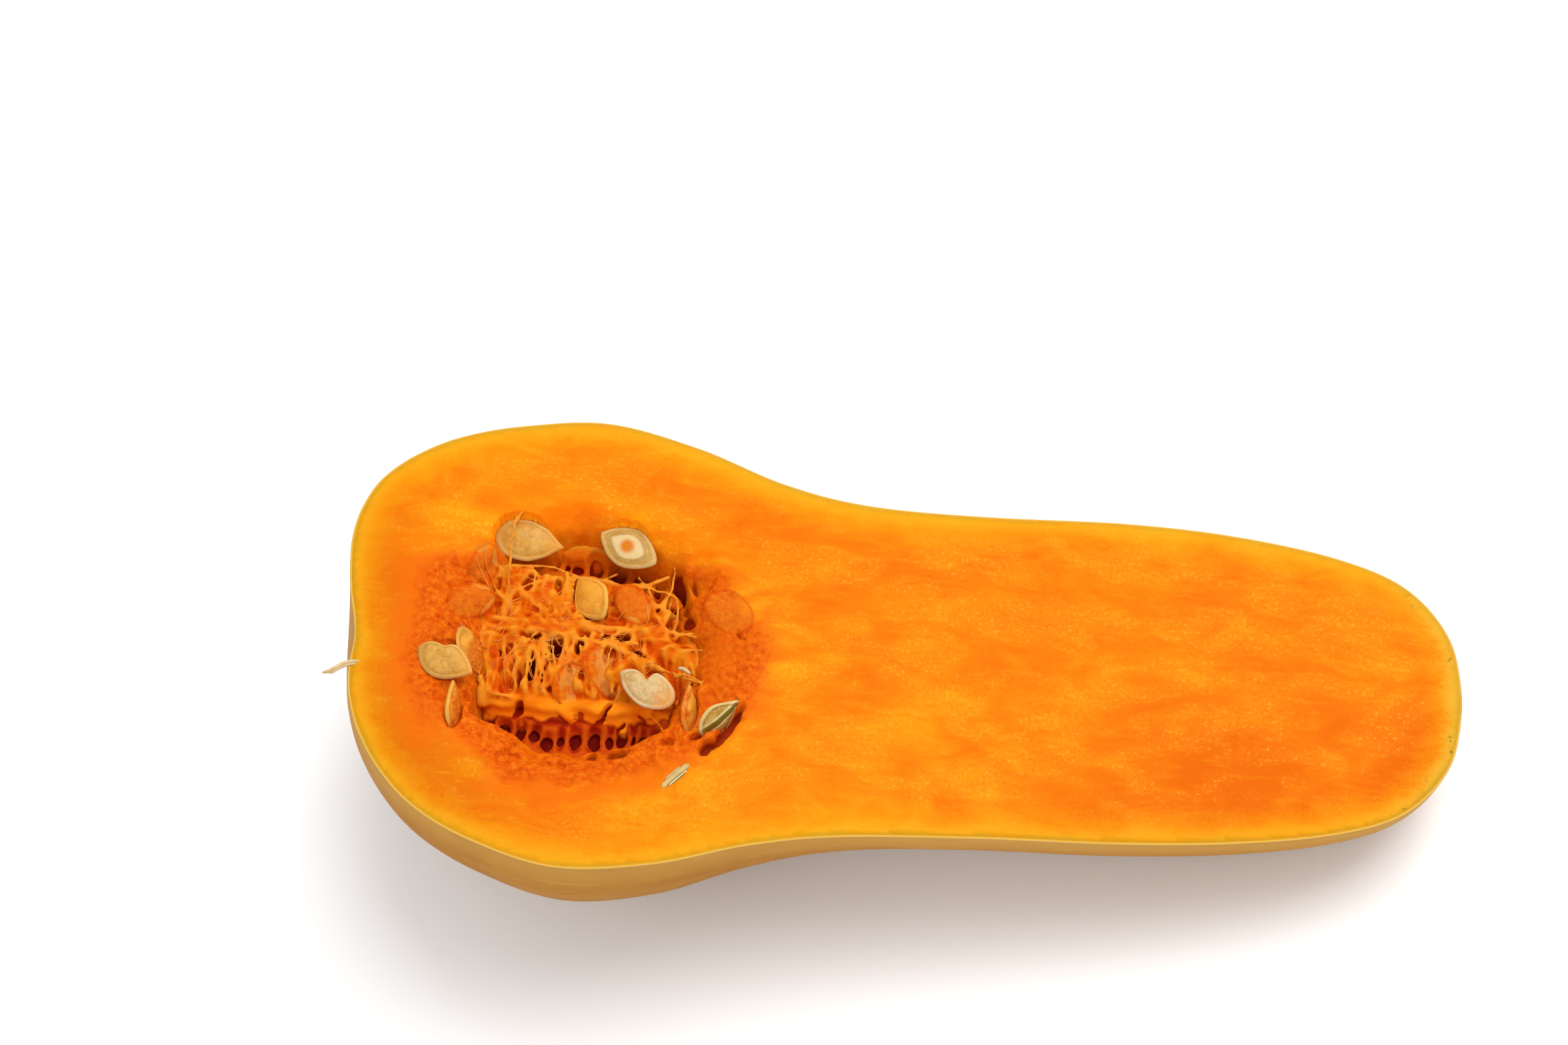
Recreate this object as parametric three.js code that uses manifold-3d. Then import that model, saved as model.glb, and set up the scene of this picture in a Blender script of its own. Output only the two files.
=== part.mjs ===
// Half of a butternut squash, cut lengthwise, with its seed pulp and seeds.
//
// Everything is built in the cut frame, in millimetres: X runs from the blossom end (0) to the stem
// end, Y runs across, and Z = 0 is the cut face with the body below it. The finished half is then
// pitched and lowered so that it lies on its rind, on the bulb and on the neck.
import * as THREE from "three";
import { mergeVertices } from "three/addons/utils/BufferGeometryUtils.js";
import Module from "manifold-3d";

const wasm = await Module();
wasm.setup();

// ---------------------------------------------------------------- driving dimensions
const LENGTH = 261;            // blossom end to stem end
const BULB_RADIUS = 58.9;      // at its widest
const NECK_RADIUS = 42.2;
const BULB_CUT_OFFSET = -4.5;  // the knife ran this far above the bulb's centre line
const NECK_CUT_OFFSET = 3.5;   // and this far under the neck's
const REST_PITCH = 10.1;       // degrees that the cut face leans down towards the stem end
const REST_FLAT_DEPTH = 0.45;  // how much the two resting spots are flattened

const CAVITY_CENTRE = [57.6, -2.6];
const CAVITY_RADIUS = 37.6;
const CAVITY_DEPTH = 33;
const PULP_GAP = 0.3;          // between the pulp and the wall that it grows on
const SEED_GAP = 0.35;         // round a seed in its socket

const BODY_SIDES = 64;
const BODY_STEPS = 42;
const CAVITY_SIDES = 44;
const STRAND_SIDES = 5;
const EPSILON = 1e-6;

// ---------------------------------------------------------------- small helpers
const smoothstep = (low, high, value) => THREE.MathUtils.smoothstep(value, low, high);
const lerp = THREE.MathUtils.lerp;
const vector = ([x, y, z]) => new THREE.Vector3(x, y, z);

// A repeatable random draw from 0 to 1.
function seededRandom(seed) {
  let state = seed;
  return () => {
    state = (state * 16807) % 2147483647;
    return state / 2147483647;
  };
}

// Soft lumps of about one unit in height and about 12 mm across.
function lumps(x, y, z) {
  const broad = Math.sin(0.31 * x + 1.3) * Math.sin(0.43 * y + 0.7 + 0.1 * z);
  const fine = Math.sin(0.83 * x + 0.29 * z) * Math.sin(0.77 * y - 0.41 * z + 2.1);
  return 0.65 * broad + 0.35 * fine;
}

// Moves each vertex of a geometry to place(x, y, z).
function deform(geometry, place) {
  const position = geometry.getAttribute("position");
  for (let i = 0; i < position.count; i++) {
    position.setXYZ(i, ...place(position.getX(i), position.getY(i), position.getZ(i)));
  }
  return geometry;
}

function toSolid(geometry) {
  const bare = new THREE.BufferGeometry();
  bare.setAttribute("position", geometry.getAttribute("position"));
  bare.setIndex(geometry.getIndex());
  const merged = mergeVertices(bare, 1e-4);
  return new wasm.Manifold(
    new wasm.Mesh({
      numProp: 3,
      vertProperties: merged.getAttribute("position").array,
      triVerts: new Uint32Array(merged.getIndex().array),
    }),
  );
}

function toGeometry(solid) {
  const mesh = solid.getMesh();
  const geometry = new THREE.BufferGeometry();
  geometry.setAttribute("position", new THREE.BufferAttribute(mesh.vertProperties, 3));
  geometry.setIndex(new THREE.BufferAttribute(mesh.triVerts, 1));
  const shaded = geometry.toNonIndexed();
  shaded.computeVertexNormals();
  return shaded;
}

const union = (solids) => solids.reduce((joined, solid) => joined.add(solid));

// The largest body of a solid: loose scraps left by a cut are dropped.
function largestBody(solid) {
  return solid.decompose().reduce((best, body) => (body.volume() > best.volume() ? body : best));
}

// ---------------------------------------------------------------- the half squash
// Distance from the blossom end, and radius, along one side of the whole fruit.
const PROFILE = [
  [1.6, 0],
  [1.5, 9],
  [1.7, 17],
  [3.4, 25.5],
  [7, 34.2],
  [13.5, 42.4],
  [23, 49.6],
  [37, 55.2],
  [57, BULB_RADIUS],
  [79, 55],
  [100, 47.6],
  [120, 43.6],
  [150, NECK_RADIUS],
  [182, NECK_RADIUS - 0.2],
  [208, 40.2],
  [232, 36],
  [248, 29.2],
  [258, 16.5],
  [LENGTH, 0],
];

// The fruit's centre line bows a little to one side.
const centreY = (x) => 6 * Math.exp(-Math.max(x, 0) / 22) - 3 * Math.exp(-(((x - 112) / 62) ** 2));
const centreZ = (x) => lerp(BULB_CUT_OFFSET, NECK_CUT_OFFSET, smoothstep(62, 140, x));

// The blossom end is set a little askew, with a shallow dimple round the blossom scar.
const BLOSSOM_SCAR_Y = -4.6;
function blossomEnd(x, y, z) {
  const dimple = 2.6 * Math.exp(-((y - BLOSSOM_SCAR_Y) ** 2 + z * z) / 110);
  return x + Math.exp(-Math.max(x, 0) / 14) * (dimple - 0.09 * y);
}

// Ten faint lengthwise furrows, deepest beside the blossom end and gone along the neck.
function furrow(x, angle) {
  return 1 - 0.011 * Math.exp(-Math.max(x, 0) / 42) * (0.5 + 0.5 * Math.cos(10 * angle + 0.6));
}

function wholeFruit() {
  const side = new THREE.SplineCurve(PROFILE.map(([x, radius]) => new THREE.Vector2(radius, x)));
  const outline = side.getSpacedPoints(BODY_STEPS);
  outline[0].x = 0;
  outline[BODY_STEPS].x = 0;
  const lathe = new THREE.LatheGeometry(outline, BODY_SIDES);
  return toSolid(
    deform(lathe, (across, along, up) => {
      const radius = furrow(along, Math.atan2(across, up));
      const y = up * radius + centreY(along);
      const z = across * radius + centreZ(along);
      return [blossomEnd(along, y, z), y, z];
    }),
  );
}

// Cavity outline: share of the radius, and depth. The far wall drops straight from the cut face, and
// the near and end walls have a frayed shelf just under it first.
const SHELVED_WALL = [
  [0, -1],
  [0.24, -0.96],
  [0.42, -0.8],
  [0.55, -0.55],
  [0.63, -0.32],
  [0.7, -0.14],
  [0.8, -0.065],
  [0.92, -0.028],
  [1, 0.006],
];
const STEEP_WALL = [
  [0, -1],
  [0.28, -0.96],
  [0.52, -0.82],
  [0.69, -0.58],
  [0.79, -0.36],
  [0.86, -0.19],
  [0.92, -0.09],
  [0.97, -0.032],
  [1, 0.006],
];
const CAVITY_LID = 6; // the cutter's height above the cut face

function cavityRadius(angle) {
  const waver = 0.03 * Math.sin(3 * angle + 1) + 0.018 * Math.sin(7 * angle + 2.2);
  return CAVITY_RADIUS * (1 + waver + 0.012 * Math.sin(12 * angle));
}

// The solid that hollows out the half, or with a gap, the space that the pulp may fill.
function cavitySpace(gap = 0) {
  const profile = SHELVED_WALL.map((_, i) => new THREE.Vector2(i / SHELVED_WALL.length, i));
  profile[0].x = 0;
  profile.push(new THREE.Vector2(1, SHELVED_WALL.length));
  profile.push(new THREE.Vector2(0, SHELVED_WALL.length));
  const lathe = new THREE.LatheGeometry(profile, CAVITY_SIDES);
  return toSolid(
    deform(lathe, (across, row, ahead) => {
      const angle = Math.atan2(across, ahead);
      const step = Math.round(row);
      const onAxis = Math.hypot(across, ahead) < EPSILON;
      const wallRow = Math.min(step, SHELVED_WALL.length - 1);
      const steep = smoothstep(0.35, 0.95, Math.sin(angle));
      const share = lerp(SHELVED_WALL[wallRow][0], STEEP_WALL[wallRow][0], steep);
      const depth = lerp(SHELVED_WALL[wallRow][1], STEEP_WALL[wallRow][1], steep);
      const radius = onAxis ? 0 : share * cavityRadius(angle) - gap * Math.min(1, share * 3);
      const x = CAVITY_CENTRE[0] + radius * Math.cos(angle);
      const y = CAVITY_CENTRE[1] + radius * Math.sin(angle);
      if (step === SHELVED_WALL.length) return [x, y, CAVITY_LID];
      const ruffle = onAxis ? 0 : 0.8 * lumps(2 * x, 2 * y, 0) * smoothstep(0, 0.4, -depth);
      return [x, y, CAVITY_DEPTH * depth + ruffle + gap];
    }),
  );
}

// ---------------------------------------------------------------- the seeds
// A seed is a flat drop, blunt at one end and pointed at the other. Each is placed by its middle, and
// turned by roll about its length, then pitch, then yaw.
const SEED_SIZE = { length: 15.5, width: 9.2, thickness: 2.9 };
const SEEDS = [
  { at: [41.2, 26.2, -4.6], turn: [14, 4, -5], size: [16.4, 9.8] },
  { at: [64.6, 26.4, -4.4], turn: [10, 2, -27], size: [15.8, 10.2] },
  { at: [57.4, 12.7, -5.2], turn: [-32, 12, 121], size: [14.4, 9] },
  { at: [26.4, -9.9, 1], turn: [16, -4, -24], size: [14.6, 9.4] },
  { at: [31.3, -5.6, -2.3], turn: [-34, 30, -62], size: [12.4, 7.4] },
  { at: [29.4, -20.4, -1.9], turn: [66, -30, 98], size: [12.6, 8] },
  { at: [73, -11, -2.6], turn: [18, 6, -24], size: [14.6, 9] },
  { at: [67.4, 11.9, -6.2], turn: [6, 4, -52], size: [11, 7.4] },
  { at: [83.6, -15.6, -4.4], turn: [72, -28, 96], size: [13, 8.4] },
  { at: [90.6, -17.8, -1.6], turn: [52, -8, 47], size: [12, 7.2] },
  { at: [82.7, -34.1, -1.8], turn: [84, 0, 49], size: [10.4, 7.4], sliced: true },
  { at: [29.6, 8.2, -3.4], turn: [22, 10, 30], size: [11.6, 8] },
  { at: [30.4, 19, -4.2], turn: [58, -16, 62], size: [10.8, 7.4] },
  { at: [54.8, -10.6, -9.8], turn: [-36, 30, -72], size: [13.4, 8.4] },
  { at: [61.8, -6, -8.2], turn: [-30, 28, -56], size: [13, 8.2] },
  { at: [90.4, 9.6, -2.6], turn: [4, 0, -42], size: [13.6, 9] },
];

function seedGeometry([length, width], swell = 0) {
  const half = [length / 2 + swell, width / 2 + swell, SEED_SIZE.thickness / 2 + swell];
  return deform(new THREE.SphereGeometry(1, 14, 8), (x, z, y) => {
    const taper = 1 - 0.2 * x - 0.2 * Math.max(x, 0) ** 2;
    const rim = 1 - 0.3 * (x * x + y * y);
    return [x * half[0], -y * half[1] * taper, z * half[2] * rim];
  });
}

const seedTurn = ([roll, pitch, yaw]) =>
  new THREE.Euler(...[roll, pitch, yaw].map(THREE.MathUtils.degToRad), "ZYX");

function placedSeed(seed, swell = 0) {
  const turn = new THREE.Quaternion().setFromEuler(seedTurn(seed.turn));
  const place = new THREE.Matrix4().compose(vector(seed.at), turn, new THREE.Vector3(1, 1, 1));
  return toSolid(seedGeometry(seed.size, swell).applyMatrix4(place));
}

// Everything above the cut face, as one block.
function aboveCut() {
  const height = 120;
  const block = new THREE.BoxGeometry(2 * LENGTH, 2 * LENGTH, height);
  return toSolid(block.translate(LENGTH / 2, 0, height / 2));
}

// ---------------------------------------------------------------- the seed pulp
// The core that fills the middle of the cavity, wider towards the floor, with a bumpy top.
const CORE = { centre: [56.5, -0.4, -21], half: [32.5, 18.8, 14.6] };

function pulpCore() {
  const round = (value) => Math.sign(value) * Math.abs(value) ** 0.84;
  return toSolid(
    deform(new THREE.SphereGeometry(1, 32, 18), (x, z, y) => {
      const angle = Math.atan2(y, x);
      const waver = 1 + 0.05 * Math.sin(3 * angle + 0.8) + 0.04 * Math.sin(5 * angle + 2.4);
      const across = waver * (1 + 0.22 * smoothstep(0.8, 0, z));
      const place = [
        CORE.centre[0] + round(x) * CORE.half[0] * waver,
        CORE.centre[1] - round(y) * CORE.half[1] * across,
        CORE.centre[2] + round(z) * CORE.half[2],
      ];
      const bump = 1.5 * lumps(1.6 * place[0], 1.6 * place[1], place[2]);
      return [place[0] + 0.8 * bump, place[1] + bump * 0.7, place[2] + bump];
    }),
  );
}

// A strand: a thin rod bent along a smooth curve, thicker at its roots than in the middle.
function strand(points, radius) {
  const curve = new THREE.CatmullRomCurve3(points.map(vector));
  const steps = Math.max(4, Math.round(curve.getLength() / 4.6));
  const frames = curve.computeFrenetFrames(steps);
  const rod = new THREE.CylinderGeometry(1, 1, 1, STRAND_SIDES, steps);
  return toSolid(
    deform(rod, (across, along, out) => {
      const step = Math.round((along + 0.5) * steps);
      const flare = radius * (0.68 + 0.5 * (2 * (step / steps) - 1) ** 4);
      return curve
        .getPoint(step / steps)
        .addScaledVector(frames.binormals[step], across * flare)
        .addScaledVector(frames.normals[step], out * flare)
        .toArray();
    }),
  );
}

// The strands that show most, by hand: [radius, point, point, ...].
const MAIN_STRANDS = [
  [1.35, [18, 0.5, -3], [27, 3, -3.6], [36, 5, -3.8], [45, 4.6, -4.2], [54, 2, -4.4], [61, 2.4, -4.8]],
  [1.2, [58, 2.4, -4.6], [67, 5, -4.9], [77, 4.4, -5.8], [86, 2, -6], [95, 2, -4]],
  [1.15, [52, 2.6, -4.4], [61, -2.4, -4.9], [70, -2, -6.2], [79, -5.6, -5], [90, -8, -4]],
  [1, [37.4, 34, -3], [37.8, 29.6, -0.6], [37.2, 23, -1.4], [37.6, 14, -4.6], [40, 5, -5.2]],
  [0.8, [37.6, 29, -0.8], [41, 33.5, 0.9], [44.6, 36.6, 2.4]],
  [0.95, [31, 25, -6], [36, 18.6, -6], [43, 12, -6.2], [50, 5, -5.4]],
  [1.1, [27, 14, -6], [33, 14.6, -6.4], [41, 19.4, -7.4], [50.7, 19.8, -8], [60, 19, -8.2], [70, 17.4, -8]],
  [1.05, [68, 17.8, -8], [76, 15.6, -7.2], [79, 9.6, -6.4], [77, 3, -6.2]],
  [0.9, [84, 27, -8], [83.4, 18, -6.6], [84.6, 9, -5.6], [86, 1, -6]],
  [0.95, [78, 29, -10], [77, 22, -8.6], [76, 15, -7.6]],
  [1.1, [28, -12.6, -5], [37, -12.4, -7], [47, -11.6, -7.6], [52, -3.4, -6.6]],
  [0.95, [66, -3, -6.2], [68.6, -10, -8.6], [77.4, -18.6, -9], [77.6, -28, -6]],
  [0.9, [79, -4.6, -5.4], [84.4, -5, -2.2], [88.6, -9.4, -2.4], [94, -11, -3]],
  [0.9, [22, 8, -4], [30.4, 1.8, -4.8], [36, -6, -6.4], [37, -12.6, -7]],
];

// Thinner strands that wander out from the middle strands over the core, each its own way.
const CROSS_STRANDS = { count: 15, from: 33, to: 78, radius: [0.65, 1] };

function crossStrands() {
  const random = seededRandom(7);
  const { count, from, to, radius } = CROSS_STRANDS;
  return Array.from({ length: count }, (_, i) => {
    const side = i % 2 ? 1 : -1;
    const start = lerp(from, to, (i + 0.8 * random()) / count);
    const reach = side * (10 + 7 * random());
    const drift = 11 * (random() - 0.5);
    const bend = 4 * (random() - 0.5);
    const middle = [start + drift * 0.4 + bend, 3 + reach * 0.5, -6 - 1.2 * random()];
    const path = [[start, 3, -5.2], middle, [start + drift, 3 + reach, -8.8]];
    return strand(path, lerp(...radius, random()));
  });
}

// Thin webs that bridge the trench between the core and a wall, with a dark hole between each pair.
const WEB_THICKNESS = 1;
const WEB_HEIGHT = 15;
const NEAR_WEBS = { count: 12, from: 36.5, to: 79, y: -21.4, bow: 2.2, span: 16, top: -13.2 };
const FAR_WEBS = { count: 8, from: 43, to: 76, y: 23.6, bow: -3, span: 15, top: -11.5 };

function webs({ count, from, to, y, bow, span, top }, seed) {
  const random = seededRandom(seed);
  return Array.from({ length: count }, (_, i) => {
    const share = i / (count - 1);
    const curve = 1 - (2 * share - 1) ** 2;
    const web = new THREE.BoxGeometry(WEB_THICKNESS, span, WEB_HEIGHT, 1, 2, 1);
    deform(web, (bx, by, bz) => [bx * (1 + Math.abs(by) / span), by, bz - 0.05 * (1 - by * by / 9)]);
    web.rotateZ(0.3 * (share - 0.5) * Math.sign(-y) + 0.2 * (random() - 0.5));
    const height = top - WEB_HEIGHT / 2 + 1.2 * (random() - 0.5);
    return toSolid(web.translate(lerp(from, to, share), y - bow * (curve - 0.5), height));
  });
}

// Pits in the top of the core, where seeds have come away: [x, y, z, radius].
const PITS = [
  [48.6, -1.6, -7.4, 2.6],
  [56.2, -2.6, -7.6, 2.2],
  [43.6, -7, -8.6, 2.4],
  [66.4, 10.6, -7.8, 3],
  [48.2, 12.4, -8, 2.6],
  [71.6, -4.6, -8.6, 2.4],
  [38.4, -4.4, -8.2, 2.2],
];

function pits() {
  return PITS.map(([x, y, z, radius]) => {
    const pit = new THREE.SphereGeometry(radius, 9, 6).scale(0.8, 1.2, 1.6);
    return toSolid(pit.translate(x, y, z));
  });
}

function pulp(seedSockets) {
  const strands = MAIN_STRANDS.map(([radius, ...points]) => strand(points, radius));
  const grown = [...strands, ...crossStrands(), ...webs(NEAR_WEBS, 11), ...webs(FAR_WEBS, 23)];
  const core = pulpCore().subtract(union(pits()));
  const whole = union([core, ...grown]).intersect(cavitySpace(PULP_GAP));
  return largestBody(whole.subtract(union(seedSockets)));
}

// ---------------------------------------------------------------- how it lies
// The surface that the half lies on, as a block in the cut frame, just above the two lowest points.
function restingSurface(lowest) {
  const block = new THREE.BoxGeometry(4 * LENGTH, 4 * LENGTH, 100);
  block.translate(0, 0, lowest - 50 + REST_FLAT_DEPTH);
  return toSolid(block.rotateY(-THREE.MathUtils.degToRad(REST_PITCH)));
}

function lowestAfterPitch(solid) {
  const geometry = toGeometry(solid).rotateY(THREE.MathUtils.degToRad(REST_PITCH));
  geometry.computeBoundingBox();
  return geometry.boundingBox.min.z;
}

// ---------------------------------------------------------------- materials
const FLESH = new THREE.MeshStandardMaterial({ color: 0xf9911a, roughness: 0.45, metalness: 0 });
const PULP = new THREE.MeshStandardMaterial({ color: 0xee6412, roughness: 0.4, metalness: 0 });
const SEED = new THREE.MeshStandardMaterial({ color: 0xe3cf9a, roughness: 0.35, metalness: 0 });

function named(name, solid, material) {
  const mesh = new THREE.Mesh(toGeometry(solid), material);
  mesh.name = name;
  return mesh;
}

// ---------------------------------------------------------------- the assembly
const half = new THREE.Group();
const above = aboveCut();
const sockets = SEEDS.map((seed) => placedSeed(seed, SEED_GAP));

const uncut = wholeFruit().subtract(above);
const resting = uncut.subtract(restingSurface(lowestAfterPitch(uncut)));
const body = largestBody(resting.subtract(cavitySpace()).subtract(union(sockets)));
half.add(named("squash_half", body, FLESH));
half.add(named("seed_pulp", pulp(sockets), PULP));
SEEDS.forEach((seed, i) => {
  const solid = seed.sliced ? placedSeed(seed).subtract(above) : placedSeed(seed);
  half.add(named(`seed_${String(i + 1).padStart(2, "0")}`, solid, SEED));
});

// Pitched on to the two resting spots, with the origin under the middle of the whole part.
half.rotation.y = THREE.MathUtils.degToRad(REST_PITCH);
const squash = new THREE.Group();
squash.add(half);
squash.updateMatrixWorld(true);
const box = new THREE.Box3().setFromObject(squash, true);
const middle = box.getCenter(new THREE.Vector3());
half.position.set(-middle.x, -middle.y, -box.min.z);

export default squash;
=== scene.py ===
"""Half of a butternut squash, cut lengthwise and lying on its rind, with its pulp and seeds.

Shapes are worked out in the cut frame, in millimetres: X runs from the blossom end to the stem end,
Y across, and Z = 0 is the cut face with the body below it. to_row() puts them where the half lies.
"""
import math

import bmesh
import bpy
import numpy as np
from mathutils import Matrix, Vector
from mathutils.geometry import delaunay_2d_cdt


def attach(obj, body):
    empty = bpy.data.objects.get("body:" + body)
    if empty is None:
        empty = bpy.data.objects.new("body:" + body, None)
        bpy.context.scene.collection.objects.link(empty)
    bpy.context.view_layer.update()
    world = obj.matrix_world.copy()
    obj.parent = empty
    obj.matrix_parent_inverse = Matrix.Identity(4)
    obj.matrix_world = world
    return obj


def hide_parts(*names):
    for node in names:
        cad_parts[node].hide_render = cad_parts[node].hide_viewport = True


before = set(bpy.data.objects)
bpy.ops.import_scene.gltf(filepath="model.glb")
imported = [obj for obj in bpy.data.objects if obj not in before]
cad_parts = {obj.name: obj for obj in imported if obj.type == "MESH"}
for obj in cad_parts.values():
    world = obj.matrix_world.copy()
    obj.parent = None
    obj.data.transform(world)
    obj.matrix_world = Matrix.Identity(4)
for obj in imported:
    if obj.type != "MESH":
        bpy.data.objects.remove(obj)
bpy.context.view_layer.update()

# ---------------------------------------------------------------- sizes, in millimetres
MM = 0.001
LENGTH = 261
BULB_CENTRE_Z, NECK_CENTRE_Z = -4.5, 3.5
REST_PITCH = math.radians(10.1)
HALF_PLACE = np.array([-126.856, 0.843, 72.618])  # where the cut frame's origin lies in the row frame
PROFILE = [  # X and radius
    (1.6, 0), (1.5, 9), (1.7, 17), (3.4, 25.5), (7, 34.2), (13.5, 42.4), (23, 49.6), (37, 55.2), (57, 58.9), (79, 55),
    (100, 47.6), (120, 43.6), (150, 42.2), (182, 42), (208, 40.2), (232, 36), (248, 29.2), (258, 16.5), (LENGTH, 0),
]
PROFILE_SAMPLES = 4000
BLOSSOM_SCAR_Y = -4.6
RIND_THICKNESS = 0.6

CAVITY_CENTRE = np.array([57.6, -2.6])
CAVITY_RADIUS = 37.6
CAVITY_DEPTH = 33
# The cavity's walls: share of its radius, and share of its depth.
SHELVED_WALL = np.array([
    (0, -1), (0.24, -0.96), (0.42, -0.8), (0.55, -0.55), (0.63, -0.32), (0.7, -0.14), (0.8, -0.065), (0.92, -0.028),
    (1, 0.0),
])
STEEP_WALL = np.array([
    (0, -1), (0.28, -0.96), (0.52, -0.82), (0.69, -0.58), (0.79, -0.36), (0.86, -0.19), (0.92, -0.09), (0.97, -0.032),
    (1, 0.0),
])
TRENCH_FLOOR = -15.4

CORE_CENTRE = np.array([56.5, -0.4, -21])
CORE_HALF = np.array([32.5, 18.8, 14.6])
CORE_POWER = 2 / 0.84


# ---------------------------------------------------------------- numbers
AXIS_PRIMES = np.array([73856093, 19349663, 83492791])
SEED_PRIME = 2654435761
HASH_ROUNDS = ((13, 1274126177), (15, 668265263))
LOW_BITS = 0x7FFFFFFF


def smoothstep(low, high, value):
    """Goes smoothly from 0 to 1 as the value goes from low to high."""
    t = np.clip((value - low) / (high - low), 0, 1)
    return t * t * (3 - 2 * t)


def mix(a, b, share):
    return a + (b - a) * share


def flat(x, y):
    """Points of the cut plane."""
    return np.stack([x, y, 0 * x], -1)


def to_row(points):
    """Points of the cut frame, in millimetres, as places in the row frame, in metres."""
    x, y, z = np.moveaxis(np.asarray(points, float), -1, 0)
    c, s = math.cos(REST_PITCH), math.sin(REST_PITCH)
    return (np.stack([c * x + s * z, y, c * z - s * x], -1) + HALF_PLACE) * MM


def park_miller(seed):
    """Repeatable draws from 0 to 1."""
    while True:
        seed = seed * 16807 % LOW_BITS
        yield seed / LOW_BITS


def noise(points, cell, seed=0):
    """Smooth random values from -1 to 1, changing over about one cell."""
    p = np.asarray(points, float) / cell
    base = np.floor(p).astype(np.int64)
    f = p - base
    f = f * f * (3 - 2 * f)
    total = np.zeros(p.shape[:-1])
    for corner in np.ndindex(2, 2, 2):
        offset = np.array(corner[::-1])
        mixed = (np.bitwise_xor.reduce((base + offset) * AXIS_PRIMES, -1) ^ (seed * SEED_PRIME)) & LOW_BITS
        for shift, prime in HASH_ROUNDS:
            mixed = ((mixed ^ (mixed >> shift)) * prime) & LOW_BITS
        total += np.prod(np.where(offset, f, 1 - f), -1) * (mixed / (LOW_BITS // 2) - 1)
    return total


def layered_noise(points, cell, seed=0, layers=3):
    total = sum(noise(points, cell / 2**layer, seed + 17 * layer) / 2**layer for layer in range(layers))
    return total / (2 - 2 ** (1 - layers))


def lumps(x, y, z):
    broad = np.sin(0.31 * x + 1.3) * np.sin(0.43 * y + 0.7 + 0.1 * z)
    fine = np.sin(0.83 * x + 0.29 * z) * np.sin(0.77 * y - 0.41 * z + 2.1)
    return 0.65 * broad + 0.35 * fine


def smooth_least(a, b, soft):
    share = np.clip(0.5 + 0.5 * (b - a) / soft, 0, 1)
    return b + (a - b) * share - soft * share * (1 - share)


def smooth_most(a, b, soft):
    return -smooth_least(-a, -b, soft)


def even_curve(points, samples, count=0, step=1.0):
    """Places on a smooth curve through all given points but the first and last: so many, or a step apart."""
    points = np.array(points, float)
    t = np.linspace(0, len(points) - 3, samples)
    i = np.minimum(t.astype(int), len(points) - 4)
    w = (t - i)[:, None]
    p0, p1, p2, p3 = (points[i + k] for k in range(4))
    bend = (2 * p0 - 5 * p1 + 4 * p2 - p3) * w**2 + (3 * p1 - p0 - 3 * p2 + p3) * w**3
    line = 0.5 * (2 * p1 + (p2 - p0) * w + bend)
    run = np.append(0, np.cumsum(np.linalg.norm(np.diff(line, axis=0), axis=1)))
    even = np.linspace(0, run[-1], count or max(3, int(run[-1] / step) + 1))
    return np.stack([np.interp(even, run, column) for column in line.T], 1)


def bent_line(points, step=0.8):
    """Evenly spaced points on a smooth curve through the given ones."""
    pts = np.array(points, float)
    before, after = 2 * pts[[0, -1]] - pts[[1, -2]]
    return even_curve([before, *pts, after], 24 * len(pts) - 23, step=step)


# ---------------------------------------------------------------- the squash's form
def centre_y(x):
    return 6 * np.exp(-np.maximum(x, 0) / 22) - 3 * np.exp(-(((x - 112) / 62) ** 2))


def centre_z(x):
    return mix(BULB_CENTRE_Z, NECK_CENTRE_Z, smoothstep(62, 140, x))


def furrow(x, angle):
    return 1 - 0.011 * np.exp(-np.maximum(x, 0) / 42) * (0.5 + 0.5 * np.cos(10 * angle + 0.6))


def blossom_end(x, y, z):
    dimple = 2.6 * np.exp(-((y - BLOSSOM_SCAR_Y) ** 2 + z * z) / 110)
    return x + np.exp(-np.maximum(x, 0) / 14) * (dimple - 0.09 * y + 0.09 * np.minimum(z, 0))


def lathe_faces(rows, sides):
    """Faces of a closed form, from the numbers of its rows of points and of the two poles after them."""
    i, j = np.meshgrid(np.arange(rows - 1), np.arange(sides), indexing="ij")
    k = (j + 1) % sides
    quads = np.stack([i * sides + j, (i + 1) * sides + j, (i + 1) * sides + k, i * sides + k], -1)
    faces, last = quads.reshape(-1, 4).tolist(), (rows - 1) * sides
    for a in range(sides):
        b = (a + 1) % sides
        faces += [[rows * sides, a, b], [rows * sides + 1, last + b, last + a]]
    return faces


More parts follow.
